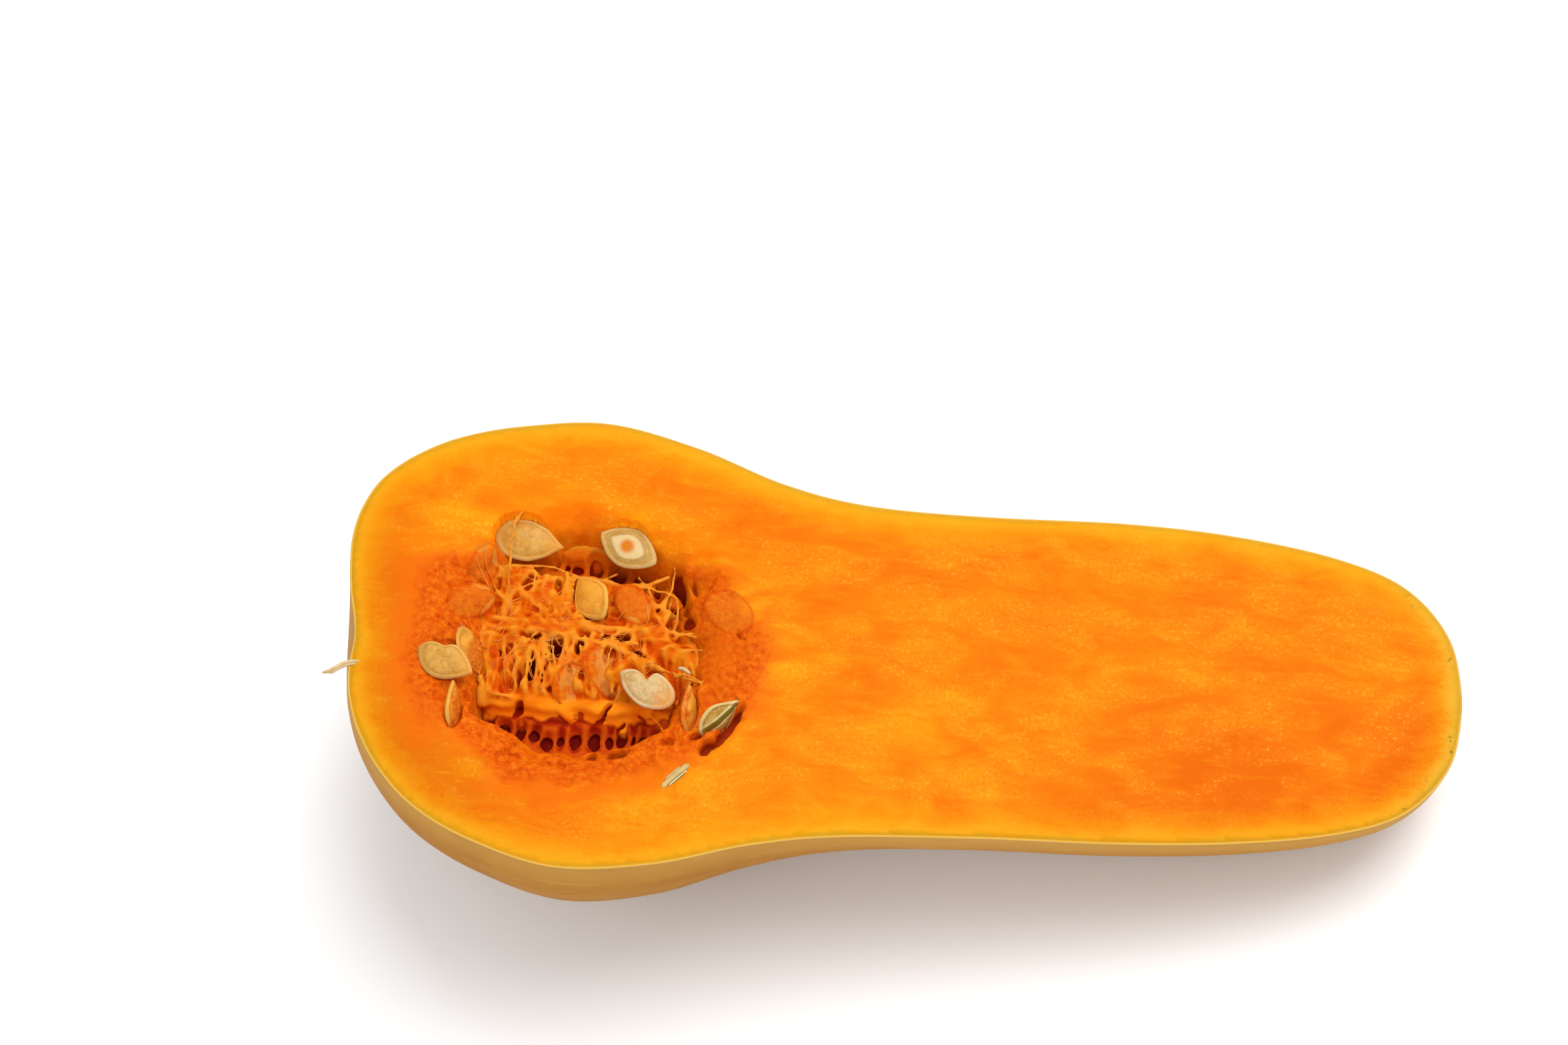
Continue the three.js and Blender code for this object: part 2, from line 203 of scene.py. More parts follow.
def cut_skin(stations, sides, inset):
    """The skin below the cut, moved inwards by inset: points, faces, and the cut edge as one loop of numbers."""
    line = even_curve([PROFILE[0], *PROFILE, PROFILE[-1]], PROFILE_SAMPLES, stations)
    angle = np.linspace(0, 2 * np.pi, sides, endpoint=False)
    x = line[1:-1, :1]
    radius = line[1:-1, 1:] * furrow(x, angle)
    y, z = centre_y(x) + radius * np.cos(angle), centre_z(x) + radius * np.sin(angle)
    rings = np.stack([blossom_end(x, y, z), y, z], -1)
    outwards = np.cross(np.roll(rings, -1, 1) - np.roll(rings, 1, 1), np.gradient(rings, axis=0))
    rings = rings - inset * outwards / np.linalg.norm(outwards, axis=-1, keepdims=True)
    poles = []
    for x, push in ((line[0, 0], inset), (line[-1, 0], -inset)):
        y, z = centre_y(x), centre_z(x)
        poles.append([blossom_end(x, y, z) + push, y, z])

    bm = bmesh.new()
    corners = [bm.verts.new(p) for p in np.concatenate([rings.reshape(-1, 3), poles])]
    for face in lathe_faces(len(rings), sides):
        bm.faces.new([corners[i] for i in face])
    bm.normal_update()
    bmesh.ops.bisect_plane(
        bm, geom=bm.verts[:] + bm.edges[:] + bm.faces[:], dist=0.01, plane_co=(0, 0, 0), plane_no=(0, 0, 1),
        clear_outer=True,
    )
    bmesh.ops.recalc_face_normals(bm, faces=bm.faces)
    bm.verts.index_update()
    beside = {}
    for edge in bm.edges:
        if edge.is_boundary:
            a, b = (v.index for v in edge.verts)
            beside.setdefault(a, []).append(b)
            beside.setdefault(b, []).append(a)
    loop = [min(beside), beside[min(beside)][0]]
    while len(loop) < len(beside):
        loop += [v for v in beside[loop[-1]] if v != loop[-2]]
    points = np.array([v.co[:] for v in bm.verts])
    faces = [[v.index for v in f.verts] for f in bm.faces]
    bm.free()
    points[loop, 2] = 0
    x, y = points[loop, :2].T
    clockwise = np.sum(x * np.roll(y, -1) - np.roll(x, -1) * y) < 0
    return points, faces, np.array(loop[::-1] if clockwise else loop)


def cavity_radius(angle):
    waver = 0.03 * np.sin(3 * angle + 1) + 0.018 * np.sin(7 * angle + 2.2)
    return CAVITY_RADIUS * (1 + waver + 0.012 * np.sin(12 * angle))


def cavity_share(x, y):
    """How far out a place lies, as a share of the cavity's radius, and its angle round the cavity."""
    dx, dy = x - CAVITY_CENTRE[0], y - CAVITY_CENTRE[1]
    angle = np.arctan2(dy, dx)
    return np.hypot(dx, dy) / cavity_radius(angle), angle


def wall_depth(share, wall):
    """Depth of a wall at that share of the radius, with the corners of its section eased."""
    return sum(np.interp(share + d, wall[:, 0], wall[:, 1]) for d in (-0.03, -0.015, 0, 0.015, 0.03)) / 5


def steepness(angle):
    """1 on the cavity's steep far side, and 0 where its wall has a shelf."""
    return smoothstep(0.35, 0.95, np.sin(angle))


def cut_height(x, y):
    """Height of the flesh's surface over the cut plane, before its small relief."""
    share, angle = cavity_share(x, y)
    depth = mix(wall_depth(share, SHELVED_WALL), wall_depth(share, STEEP_WALL), steepness(angle))
    ruffle = 0.8 * lumps(2 * x, 2 * y, 0) * smoothstep(0, 0.4, -depth)
    return np.where(share < 1.04, CAVITY_DEPTH * depth + ruffle, 0)


def trench_share(x, y, sway=0.0):
    """1 in the trench of cells beside the core's near flank, and 0 away from it."""
    across = smoothstep(4.6, 3.0, np.abs(y + 21.2 - 0.0085 * (x - 56) ** 2 + sway))
    return across * smoothstep(32.6, 35.4, x) * smoothstep(80, 77, x)


def ridge_lines(x, y, cell, width, seed):
    """1 along winding ridges, falling to 0 between them."""
    return np.exp(-((layered_noise(flat(x, y), cell, seed, 2) / width) ** 2))


def hollow_share(x, y, hollow):
    """0 outside a hollow's outline, rising to 1 at its middle."""
    hx, hy, half_x, half_y, turn = hollow[:5]
    c, s = math.cos(math.radians(turn)), math.sin(math.radians(turn))
    across, along = (x - hx) * c + (y - hy) * s, (y - hy) * c - (x - hx) * s
    return smoothstep(1.25, 0.65, np.sqrt((across / half_x) ** 2 + (along / half_y) ** 2))


def hollows_depth(x, y, hollows):
    """How far a set of hollows sinks the surface at each place, with uneven outlines."""
    wx, wy = (v + 0.35 * noise(flat(x, y), 1.7, seed) for v, seed in ((x, 61), (y, 62)))
    return np.maximum.reduce([0 * x] + [hollow[5] * hollow_share(wx, wy, hollow) for hollow in hollows])


def flesh_height(x, y):
    """The flesh's surface with its torn fibres, ragged shelf and faint knife marks."""
    share, angle = cavity_share(x, y)
    place, reach, steep = flat(x, y), share * CAVITY_RADIUS, steepness(angle)
    inner = smoothstep(1.0, 0.8, share) * smoothstep(0.3, 0.5, share)
    pull = 1 + inner * mix(0.075, 0.03, steep) * layered_noise(flat(angle * 30, share * 14), 4.2, 8)
    base = cut_height(*(c + (v - c) * pull for v, c in zip((x, y), CAVITY_CENTRE)))
    lip = smoothstep(-12, -20, y)
    torn = mix(0.5, 0.2, lip) * layered_noise(flat(angle * 26, reach / 3.2), 1.3, 5)
    torn = torn + mix(0.9, 0.35, lip) * layered_noise(place, 3.0, 9)
    torn = torn + 1.3 * lip * layered_noise(place, 5.0, 19, 2)
    strings = (ridge_lines(angle * 28 + 0.5 * reach, 0.35 * reach, 1.9, 0.2, 57) - 0.5) * mix(1, 0.35, lip)
    near_margin = smoothstep(1.08, 0.94, share) * smoothstep(0.45, 0.66, share)
    calm = smoothstep(0.9, 0.99, np.cos(angle - 0.12)) * smoothstep(0.97, 0.88, share)
    rough = mix(1.0, 0.22, np.maximum(steep, calm)) * near_margin
    ragged = rough * (torn + 0.9 * strings - 0.3 * near_margin)
    drag = 0.05 * noise(place * [0.12, 1, 1], 1.6, 3) + 0.09 * noise(place, 9, 4)
    height = base + ragged * (1 - smoothstep(0.98, 1.16, share)) + drag * smoothstep(0.9, 1.1, share)
    height = mix(height, np.minimum(height, TRENCH_FLOOR), trench_share(x, y, 0.8 * torn))
    return height - hollows_depth(x, y, WALL_HOLLOWS)


# ---------------------------------------------------------------- meshes
def new_object(name, data):
    obj = bpy.data.objects.new(name, data)
    bpy.context.scene.collection.objects.link(obj)
    return obj


def make_mesh(name, points, faces, material, **values):
    """A smooth closed mesh object from cut-frame points, with one number a point for each value."""
    place = to_row(points)
    place[:, 2] = np.maximum(place[:, 2], 0)
    mesh = bpy.data.meshes.new(name)
    mesh.from_pydata(place.tolist(), [], faces, shade_flat=False)
    for key, numbers in values.items():
        mesh.attributes.new(key, "FLOAT", "POINT").data.foreach_set("value", np.asarray(numbers, np.float32))
    mesh.validate()
    mesh.materials.append(material)
    return new_object(name, mesh)


def turn_faces_out(obj):
    """Joins a mesh's parts where their points meet, and turns its faces outwards."""
    bm = bmesh.new()
    bm.from_mesh(obj.data)
    bmesh.ops.remove_doubles(bm, verts=bm.verts, dist=1e-7)
    bmesh.ops.recalc_face_normals(bm, faces=bm.faces)
    bm.to_mesh(obj.data)
    bm.free()
    return obj


def distance_to_loop(points, loop):
    """Distance from each (x, y) point to a closed line of (x, y) corners."""
    span = np.roll(loop, -1, 0) - loop
    best = []
    for part in np.array_split(points[:, None], len(points) // 4000 + 1):
        t = np.clip(((part - loop) * span).sum(-1) / (span**2).sum(1), 0, 1)
        gap = part - (loop + t[..., None] * span)
        best.append(np.sqrt((gap**2).sum(-1).min(1)))
    return np.concatenate(best)


def inside_loop(points, loop):
    """Whether each (x, y) point lies inside a closed line."""
    inside = np.zeros(len(points), bool)
    for (ax, ay), (bx, by) in zip(loop, np.roll(loop, -1, 0)):
        crosses = (ay > points[:, 1]) != (by > points[:, 1])
        if ay != by:
            inside ^= crosses & (points[:, 0] < (bx - ax) * (points[:, 1] - ay) / (by - ay) + ax)
    return inside


def triangulate(loop, inner, edges=()):
    """Triangles over a closed outline and the points inside it, as numbers into loop + inner."""
    places = [Vector(p) for p in np.concatenate([loop, inner])]
    result = delaunay_2d_cdt(places, edges, [list(range(len(loop)))], 1, 1e-6)
    source = [group[0] if group else -1 for group in result[3]]
    return np.array([[source[i] for i in face] for face in result[2]])


def hexagonal_points(low, high, step):
    """Rows of points over a rectangle, each row shifted by half a step."""
    x, y = np.meshgrid(np.arange(low[0], high[0], step), np.arange(low[1], high[1], step * 0.866))
    x[1::2] += step / 2
    return np.stack([x.ravel(), y.ravel()], 1)


# ---------------------------------------------------------------- the seeds
# Middle, turn (roll, pitch, yaw in degrees), length and width, and how the seed coat looks.
SEEDS = [
    ((41.2, 26.2, -4.6), (14, 4, -5), (16.4, 9.8), "clean"),
    ((64.6, 26.4, -4.4), (10, 2, -27), (15.8, 10.2), "ringed"),
    ((57.4, 12.7, -5.2), (-32, 12, 121), (14.4, 9), "golden"),
    ((26.4, -9.9, 1), (16, -4, -24), (14.6, 9.4), "clean"),
    ((31.3, -5.6, -2.3), (-34, 30, -62), (12.4, 7.4), "golden"),
    ((29.4, -20.4, -1.9), (66, -30, 98), (12.6, 8), "golden"),
    ((73, -11, -2.6), (18, 6, -24), (14.6, 9), "white"),
    ((67.4, 11.9, -6.2), (6, 4, -52), (11, 7.4), "buried"),
    ((83.6, -15.6, -4.4), (72, -28, 96), (13, 8.4), "golden"),
    ((90.6, -17.8, -1.6), (52, -8, 47), (12, 7.2), "split"),
    ((82.7, -34.1, -1.8), (84, 0, 49), (10.4, 7.4), "sliced"),
    ((29.6, 8.2, -3.4), (22, 10, 30), (11.6, 8), "pulpy"),
    ((30.4, 19, -4.2), (58, -16, 62), (10.8, 7.4), "pulpy"),
    ((54.8, -10.6, -9.8), (-36, 30, -72), (13.4, 8.4), "buried"),
    ((61.8, -6, -8.2), (-30, 28, -56), (13, 8.2), "buried"),
    ((90.4, 9.6, -2.6), (4, 0, -42), (13.6, 9), "buried"),
]
COVERED = ("buried", "pulpy")
SEED_THICKNESS = 2.9
FILM = 0.35  # how far flesh or pulp covers a buried seed
FILMED = {5: 1, 6: 1, 9: -1}  # seeds half under a film of pulp: 1 on the stem side, -1 on the blossom side
# How far from an ellipse each seed's outline is: how pointed its first and second end are, how much it is
# crumpled, its taper, and where a notch lies (degrees round it from the second end), how deep it cuts and how wide.
EVEN_FORM = {"first": 0.1, "second": 0.25, "crumple": 0.1, "taper": 0.2, "notch": None}
SEED_FORMS = {
    1: {"first": 0.0, "second": 0.5, "crumple": 0.2},
    2: {"first": 0.75, "second": 0.3, "taper": 0.05, "crumple": 0.12},
    3: {"first": 0.6, "second": 0.2, "crumple": 0.22},
    4: {"first": 0.5, "second": 0.3, "crumple": 0.55, "notch": (110, 0.35, 22)},
    5: {"first": 0.2, "second": 0.6, "crumple": 0.6},
    6: {"first": 0.4, "second": 0.6, "crumple": 0.3},
    7: {"first": 0.7, "second": 0.0, "crumple": 0.3, "taper": 0.0, "notch": (106, 0.62, 15)},
    9: {"first": 0.2, "second": 0.5, "crumple": 0.25},
    10: {"first": 0.3, "second": 0.85, "crumple": 0.2},
}


def seed_turn(turn):
    roll, pitch, yaw = (math.radians(a) for a in turn)
    return np.array(Matrix.Rotation(yaw, 3, "Z") @ Matrix.Rotation(pitch, 3, "Y") @ Matrix.Rotation(roll, 3, "X"))


def seed_points(number, sides=72, rings=34, shaped=True):
    """A seed's points, faces and values for its finish, with a rim, a crumpled coat and a bend where shaped."""
    at, turn, size, coat = SEEDS[number - 1]
    form = EVEN_FORM | SEED_FORMS.get(number, {})
    theta = np.linspace(0, np.pi, rings + 1)[1:-1]
    theta, phi = np.meshgrid(theta, np.linspace(0, 2 * np.pi, sides, endpoint=False), indexing="ij")
    rho, c, s = np.sin(theta), np.cos(phi), np.sin(phi)
    sharp = np.where(c > 0, form["second"], form["first"])
    wide = np.sign(s) * np.maximum(1 - np.abs(c) ** mix(2, 1.5, sharp), 0) ** mix(0.5, 1, sharp)
    reach = rho
    if form["notch"]:
        spot, cut, width = form["notch"]
        reach = rho * (1 - cut * np.exp(-(((np.degrees(np.arctan2(-s, c)) - spot) / width) ** 2)))
    grids = ((reach * c, 0, 0), (reach * wide, 0, 0), (np.cos(theta), 1, -1), (rho, 0, 0))
    x, y, z, rho = (np.append(grid, poles) for grid, *poles in grids)
    half = np.array([*size, SEED_THICKNESS]) / 2
    taper = 1 - form["taper"] * (x + np.maximum(x, 0) ** 2)
    thick = half[2] * z * (1 - 0.3 * rho**2)
    wobble = 0.1 if coat in COVERED else 1
    if shaped:
        side = np.sign(z) * smoothstep(0, 0.12, np.abs(z))
        thick += side * (0.12 * np.exp(-(((rho - 0.9) / 0.06) ** 2)) - 0.16 * np.exp(-(((rho - 0.79) / 0.06) ** 2)))
        folds = layered_noise(np.stack([x * size[0], y * size[1], z], -1) + np.array(at), 3.4, 31, 2)
        thick += side * form["crumple"] * wobble * folds * smoothstep(1, 0.7, rho)
    local = np.stack([x * half[0], -y * half[1] * taper, thick], -1)
    if shaped:
        local[:, 2] += wobble * (0.25 + form["crumple"]) * noise(local + np.array(at) * 3, 7, 77) * rho**2
        local[:, :2] *= 1 + 0.05 * wobble * noise(local * [1, 1, 0] + np.array(at), 3, 78)[:, None] * rho[:, None]
    points = local @ seed_turn(turn).T + np.array(at)
    if coat == "sliced":
        points[:, 2] = np.minimum(points[:, 2], 0.05)
    heart = np.hypot(x * half[0], y * half[1]) / half[1]
    values = {"rim_share": rho, "along": x, "across": y, "heart": heart, "film": film_share(points, number)}
    return points, lathe_faces(rings - 1, sides), values


def film_share(points, number):
    """1 where the pulp's film lies on a seed, and 0 where the coat is bare."""
    side = FILMED.get(number, 0)
    offset = side * (points[:, 0] - SEEDS[number - 1][0][0]) / 2 + 0.5 * noise(points, 2.2, 91)
    return smoothstep(-0.1, 0.5, offset) * abs(side)


def bedded_seeds(x, y, z):
    """Heights z at (x, y), lowered under each seed that lies in the surface and raised over a covered one."""
    for number, (at, _, _, coat) in enumerate(SEEDS, 1):
        near = np.flatnonzero((np.abs(x - at[0]) < 10) & (np.abs(y - at[1]) < 10))
        sx, sy, sz = seed_points(number, 90, 50, False)[0].T
        close = (x[near, None] - sx) ** 2 + (y[near, None] - sy) ** 2 < 0.35**2
        under = close.any(1)
        spot = near[under]
        lowest, highest = np.where(close, sz, 99).min(1)[under], np.where(close, sz, -99).max(1)[under]
        if coat in COVERED:
            z[spot] = np.maximum(z[spot], highest + 1.6 * FILM)
        else:
            z[spot] = np.minimum(z[spot], (0 if coat == "sliced" else (lowest + highest) / 2) - 0.15)
    return z


def ghost_seeds(points):
    """1 over the middle of a covered seed, 0.5 over its edge, and 0 away from it."""
    ghost = np.zeros(len(points))
    for at, turn, size, coat in SEEDS:
        if coat in COVERED:
            x, y, z = ((points - at) @ seed_turn(turn)).T
            over = smoothstep(3.4, 2.6, np.abs(z)) * smoothstep(-4.5, -2.5, points[:, 2] - at[2])
            ghost = np.maximum(ghost, smoothstep(1.25, 0.7, np.hypot(x / size[0], y / size[1]) * 2) * over)
    return ghost


# ---------------------------------------------------------------- materials
BRIGHT_ROOM = 0.72  # the room is lit until the floor turns white, so surfaces are this share as light as they look


def colour(code):
    """A colour as it looks in this light, six hexadecimal digits, as linear red, green, blue and alpha."""
    parts = [int(code[i:i + 2], 16) / 255 for i in (0, 2, 4)]
    linear = [c / 12.92 if c <= 0.04045 else ((c + 0.055) / 1.055) ** 2.4 for c in parts]
    return (*(BRIGHT_ROOM * c for c in linear), 1.0)


class Value:
    """What a finish's node gives, with arithmetic that adds more nodes."""

    def __init__(self, finish, socket):
        self.finish, self.socket = finish, socket

    def maths(self, operation, other=0.0):
        return self.finish.add("Math", {0: self, 1: other}, operation=operation)

    def __add__(self, other):
        return self.maths("ADD", other)

    def __sub__(self, other):
        return self.maths("SUBTRACT", other)

    def __mul__(self, other):
        return self.maths("MULTIPLY", other)

    def __abs__(self):
        return self.maths("ABSOLUTE")

    def __call__(self, low, high, first=0.0, last=1.0):
        """Goes smoothly from first to last as this value goes from low to high."""
        sockets = {0: self, 1: low, 2: high, 3: first, 4: last}
        return self.finish.add("MapRange", sockets, interpolation_type="SMOOTHSTEP")


class Finish:
    """A material under construction, with short ways to add and join its nodes."""

    def __init__(self, name):
        self.material = bpy.data.materials.new(name)
        self.material.use_nodes = True
        self.tree = self.material.node_tree
        # The object's coordinates, turned back into the cut frame and millimetres.
        row = {"Location": tuple(HALF_PLACE * MM), "Rotation": (0, REST_PITCH, 0), "Scale": (MM, MM, MM)}
        self.place = self.add("Mapping", {"Vector": self.add("TexCoord", {}, "Object"), **row}, vector_type="TEXTURE")

    def feed(self, socket, value):
        if isinstance(value, Value):
            self.tree.links.new(value.socket, socket)
        else:
            socket.default_value = colour(value) if isinstance(value, str) else value

    def add(self, kind, inputs, output=0, **settings):
        node = self.tree.nodes.new("ShaderNode" + kind)
        for key, value in settings.items():
            setattr(node, key, value)
        for key, value in inputs.items():
            self.feed(node.inputs[key], value)
        return Value(self, node.outputs[output])

    def axes(self):
        return [self.add("SeparateXYZ", {"Vector": self.place}, axis) for axis in "XYZ"]

    def attributes(self, *names):
        return [self.add("Attribute", {}, "Fac", attribute_name=name) for name in names]

    def noise(self, size, detail=3.0, roughness=0.55, stretch=(1, 1, 1), twist=0.0):
        """Noise whose patches are about size millimetres across."""
        where = self.add("VectorMath", {0: self.place, 1: stretch}, operation="MULTIPLY")
        sizes = {"Scale": 1.0 / size, "Detail": detail, "Roughness": roughness, "Distortion": twist}
        return self.add("TexNoise", {"Vector": where, **sizes})

    def ramp(self, value, *stops):
        """A colour by value: stops are (position, colour code)."""
        ramp = self.add("ValToRGB", {"Fac": value})
        elements = ramp.socket.node.color_ramp.elements
        while len(elements) < len(stops):
            elements.new(1.0)
        for element, (position, code) in zip(elements, stops):
            element.position, element.color = position, colour(code)
        return ramp

    def blend(self, share, a, b, kind="MIX"):
        return self.add("Mix", {0: share, 6: a, 7: b}, 2, data_type="RGBA", blend_type=kind)

    def coated(self, base, *coats):
        """A colour under coats, each (share, colour)."""
        for share, coat in coats:
            base = self.blend(share, base, coat)
        return base

    def bumps(self, *layers):
        """The normal under layers of relief, each (height, its size in millimetres, strength)."""
        under = {}
        for height, size, strength in layers:
            normal = self.add("Bump", {"Height": height, "Strength": strength, "Distance": size * MM, **under})
            under = {"Normal": normal}
        return normal

    def finished(self, **inputs):
        """The material, with its shader's inputs set."""
        for key, value in inputs.items():
            self.feed(self.tree.nodes["Principled BSDF"].inputs[key.replace("_", " ")], value)
        return self.material


def flesh_finish():
    f = Finish("moist orange flesh")
    edge, margin, depth, sunk, ghost = f.attributes("skin_gap", "margin_gap", "depth", "sunk", "ghost")
    broad, patches = f.noise(34, 3, 0.55, (0.62, 1, 1), 0.6), f.noise(9, 4, 0.62, (0.55, 1, 1), 0.8)
    grain, speckle, fray = f.noise(1.7, 3, 0.6, (0.22, 1, 1)), f.noise(0.9, 2, 0.6), f.noise(1.5, 4, 0.7)
    x, y, _ = f.axes()
    cloudy = broad * 0.6 + patches * 0.4 + x(125, 190, 0, -0.05)
    cloudy = cloudy - x(128, 152) * y(8, -8) * 0.06 + y(34, 48, 0, 0.05)
    open_flesh = f.coated(
        f.ramp(cloudy, (0.32, "E86A04"), (0.43, "F07A06"), (0.52, "F38A08"), (0.6, "F59A0C"), (0.72, "F6AE1C")),
        ((x + y * 0.45)(36, -6, 0, 0.75), "D05602"),
        (grain(0.52, 0.78, 0, 0.3), "FBA416"),
        (grain(0.46, 0.28, 0, 0.3), "EE6E08"),
        (speckle(0.54, 0.68) * patches(0.42, 0.6) * 0.4, "FBB83C"),
        (speckle(0.44, 0.3) * broad(0.4, 0.56) * 0.35, "E06A04"),
    )
    # The torn flesh reaches further out or less far on some sides of the cavity.
    low_right = x - y * 0.35
    margin = margin + y(13, 30, 0, 8) - low_right(89, 97, 0, 3)
    margin = margin - low_right(91, 96) * y(-26, -19) - x(30, 21, 0, 5) + y(-27, -34, 0, 1.5)
    close = margin + (f.noise(4, 4, 0.7) - 0.5) * 11.0
    frayed = f.ramp(fray, (0.26, "C63E04"), (0.4, "DE5406"), (0.53, "EE6A0A"), (0.66, "F48014"), (0.8, "F89826"))
    calm = x(82, 90) * abs(y)(18, 10) * depth(0.6, 2.5)
    torn = f.coated(
        open_flesh,
        ((margin + (patches - 0.5) * 18.0)(7.5, -1.0, 0, 0.8), "F0700C"),
        (close(1.5, -2.5, 0, 0.75), "E65A0A"),
        (close(0.5, -3.5), frayed),
        (calm * close(1, -3, 0, 0.75), "E6680A"),
    )
    # Painted light: the far rim of the cavity, which slopes away from the lamps, is brightened by about a quarter.
    far_rim_painted_light = y(17, 28) * depth(9, 3) * margin(16, 9)
    sun = edge + (patches - 0.5) * -5.0
    speckled = sun + (speckle - 0.5) * 8.0
    stem_tip = x(238, 258) * speckled(5, 0)
    base = f.coated(
        f.blend(far_rim_painted_light * 0.24, torn, torn, "ADD"),
        (depth(4, 8), f.ramp(f.noise(5, 3, 0.6), (0.35, "EA6406"), (0.5, "F67808"), (0.65, "FA8812"))),
        # Painted shade: darker red deep in the cavity and in the hollows of its wall.
        (depth(12.5, 16), "AE2408"),
        (sunk(0.55, 1.1, 0, 0.9), "9A2006"),
        (abs(ghost - 0.45)(0.3, 0.0, 0, 0.5), "CC4A0A"),
        (ghost(0.6, 0.95, 0, 0.35), "E08020"),
        (speckled(10, 2, 0, 0.5), "F6A60A"),
        (sun(4.5, 0.8, 0, 0.6), "F0AC1C"),
        (stem_tip * 0.5, "DCB640"),
        (f.noise(2.4, 2, 0.5)(0.62, 0.69) * stem_tip, "7C7A28"),
        (edge(1.6, 0.4) * f.noise(12, 3, 0.6)(0.42, 0.62) * 0.4, "D8AC24"),
        (edge(0.3, 0.05, 0, 0.4), "F0C860"),
    )
    relief = f.bumps((grain, 0.10, 0.6), (speckle, 0.14, 0.8), (fray * margin(1.0, -3.0), 0.6, 0.8))
    return f.finished(Base_Color=base, Roughness=patches(0.3, 0.7, 0.5, 0.38), Normal=relief, Subsurface_Weight=0.2,
                      Subsurface_Radius=(1.0, 0.35, 0.08), Subsurface_Scale=0.0015, Specular_IOR_Level=0.02)


def rind_finish():
    f = Finish("tan squash rind")
    rim, stem_scar, blossom_scar = f.attributes("rim", "stem_scar", "blossom_scar")
    broad, mottle = f.noise(38, 3, 0.6, (0.35, 1, 1), 0.4), f.noise(5, 4, 0.65, (0.5, 1, 1))
    streak, pores = f.noise(3.2, 3, 0.6, (0.09, 1, 1)), f.noise(0.55, 2, 0.5)
    x, _, z = f.axes()
    base = f.coated(
        f.ramp(broad, (0.32, "BA7A30"), (0.5, "C6893A"), (0.68, "D2994A")),
        (mottle(0.45, 0.7, 0, 0.4), "D49E50"),
        (streak(0.6, 0.78, 0, 0.45), "A8682A"),
        (streak(0.38, 0.24, 0, 0.35), "DAAA60"),
        (pores(0.6, 0.75, 0, 0.25), "B98A50"),
        (f.noise(1.6, 3, 0.7)(0.66, 0.73) * broad(0.5, 0.6) * 0.75, "8C6A3C"),
        (x(232, 256) * mottle(0.4, 0.6) * 0.2, "B0A058"),
        (stem_scar(0.35, 0.8), f.ramp(f.noise(1.1, 4, 0.7), (0.35, "5E4A2C"), (0.6, "8B7348"))),
        (blossom_scar(0.3, 0.85, 0, 0.8), "A8843F"),
        # Painted light and shade: the rind is painted lighter near the cut and darker towards its underside.
        (z(-13, 0, 0, 0.55), "E2AE58"),
        (z(-12, -38, 0, 0.4), "A27E54"),
        (rim(0.3, 0.9), "E2BC68"),
        (rim(1.1, 1.6), "F0AA1E"),
    )
    rough = stem_scar.maths("MAXIMUM", blossom_scar) * f.noise(1.3, 4, 0.7)
    relief = f.bumps((streak, 0.16, 0.5), (mottle, 0.12, 0.5), (pores, 0.05, 0.6), (rough, 1.2, 0.8))
    return f.finished(Base_Color=base, Roughness=mottle(0.3, 0.7, 0.42, 0.56), Normal=relief, Subsurface_Weight=0.1,
                      Subsurface_Radius=(1.0, 0.6, 0.3), Subsurface_Scale=0.001, Specular_IOR_Level=0.01)


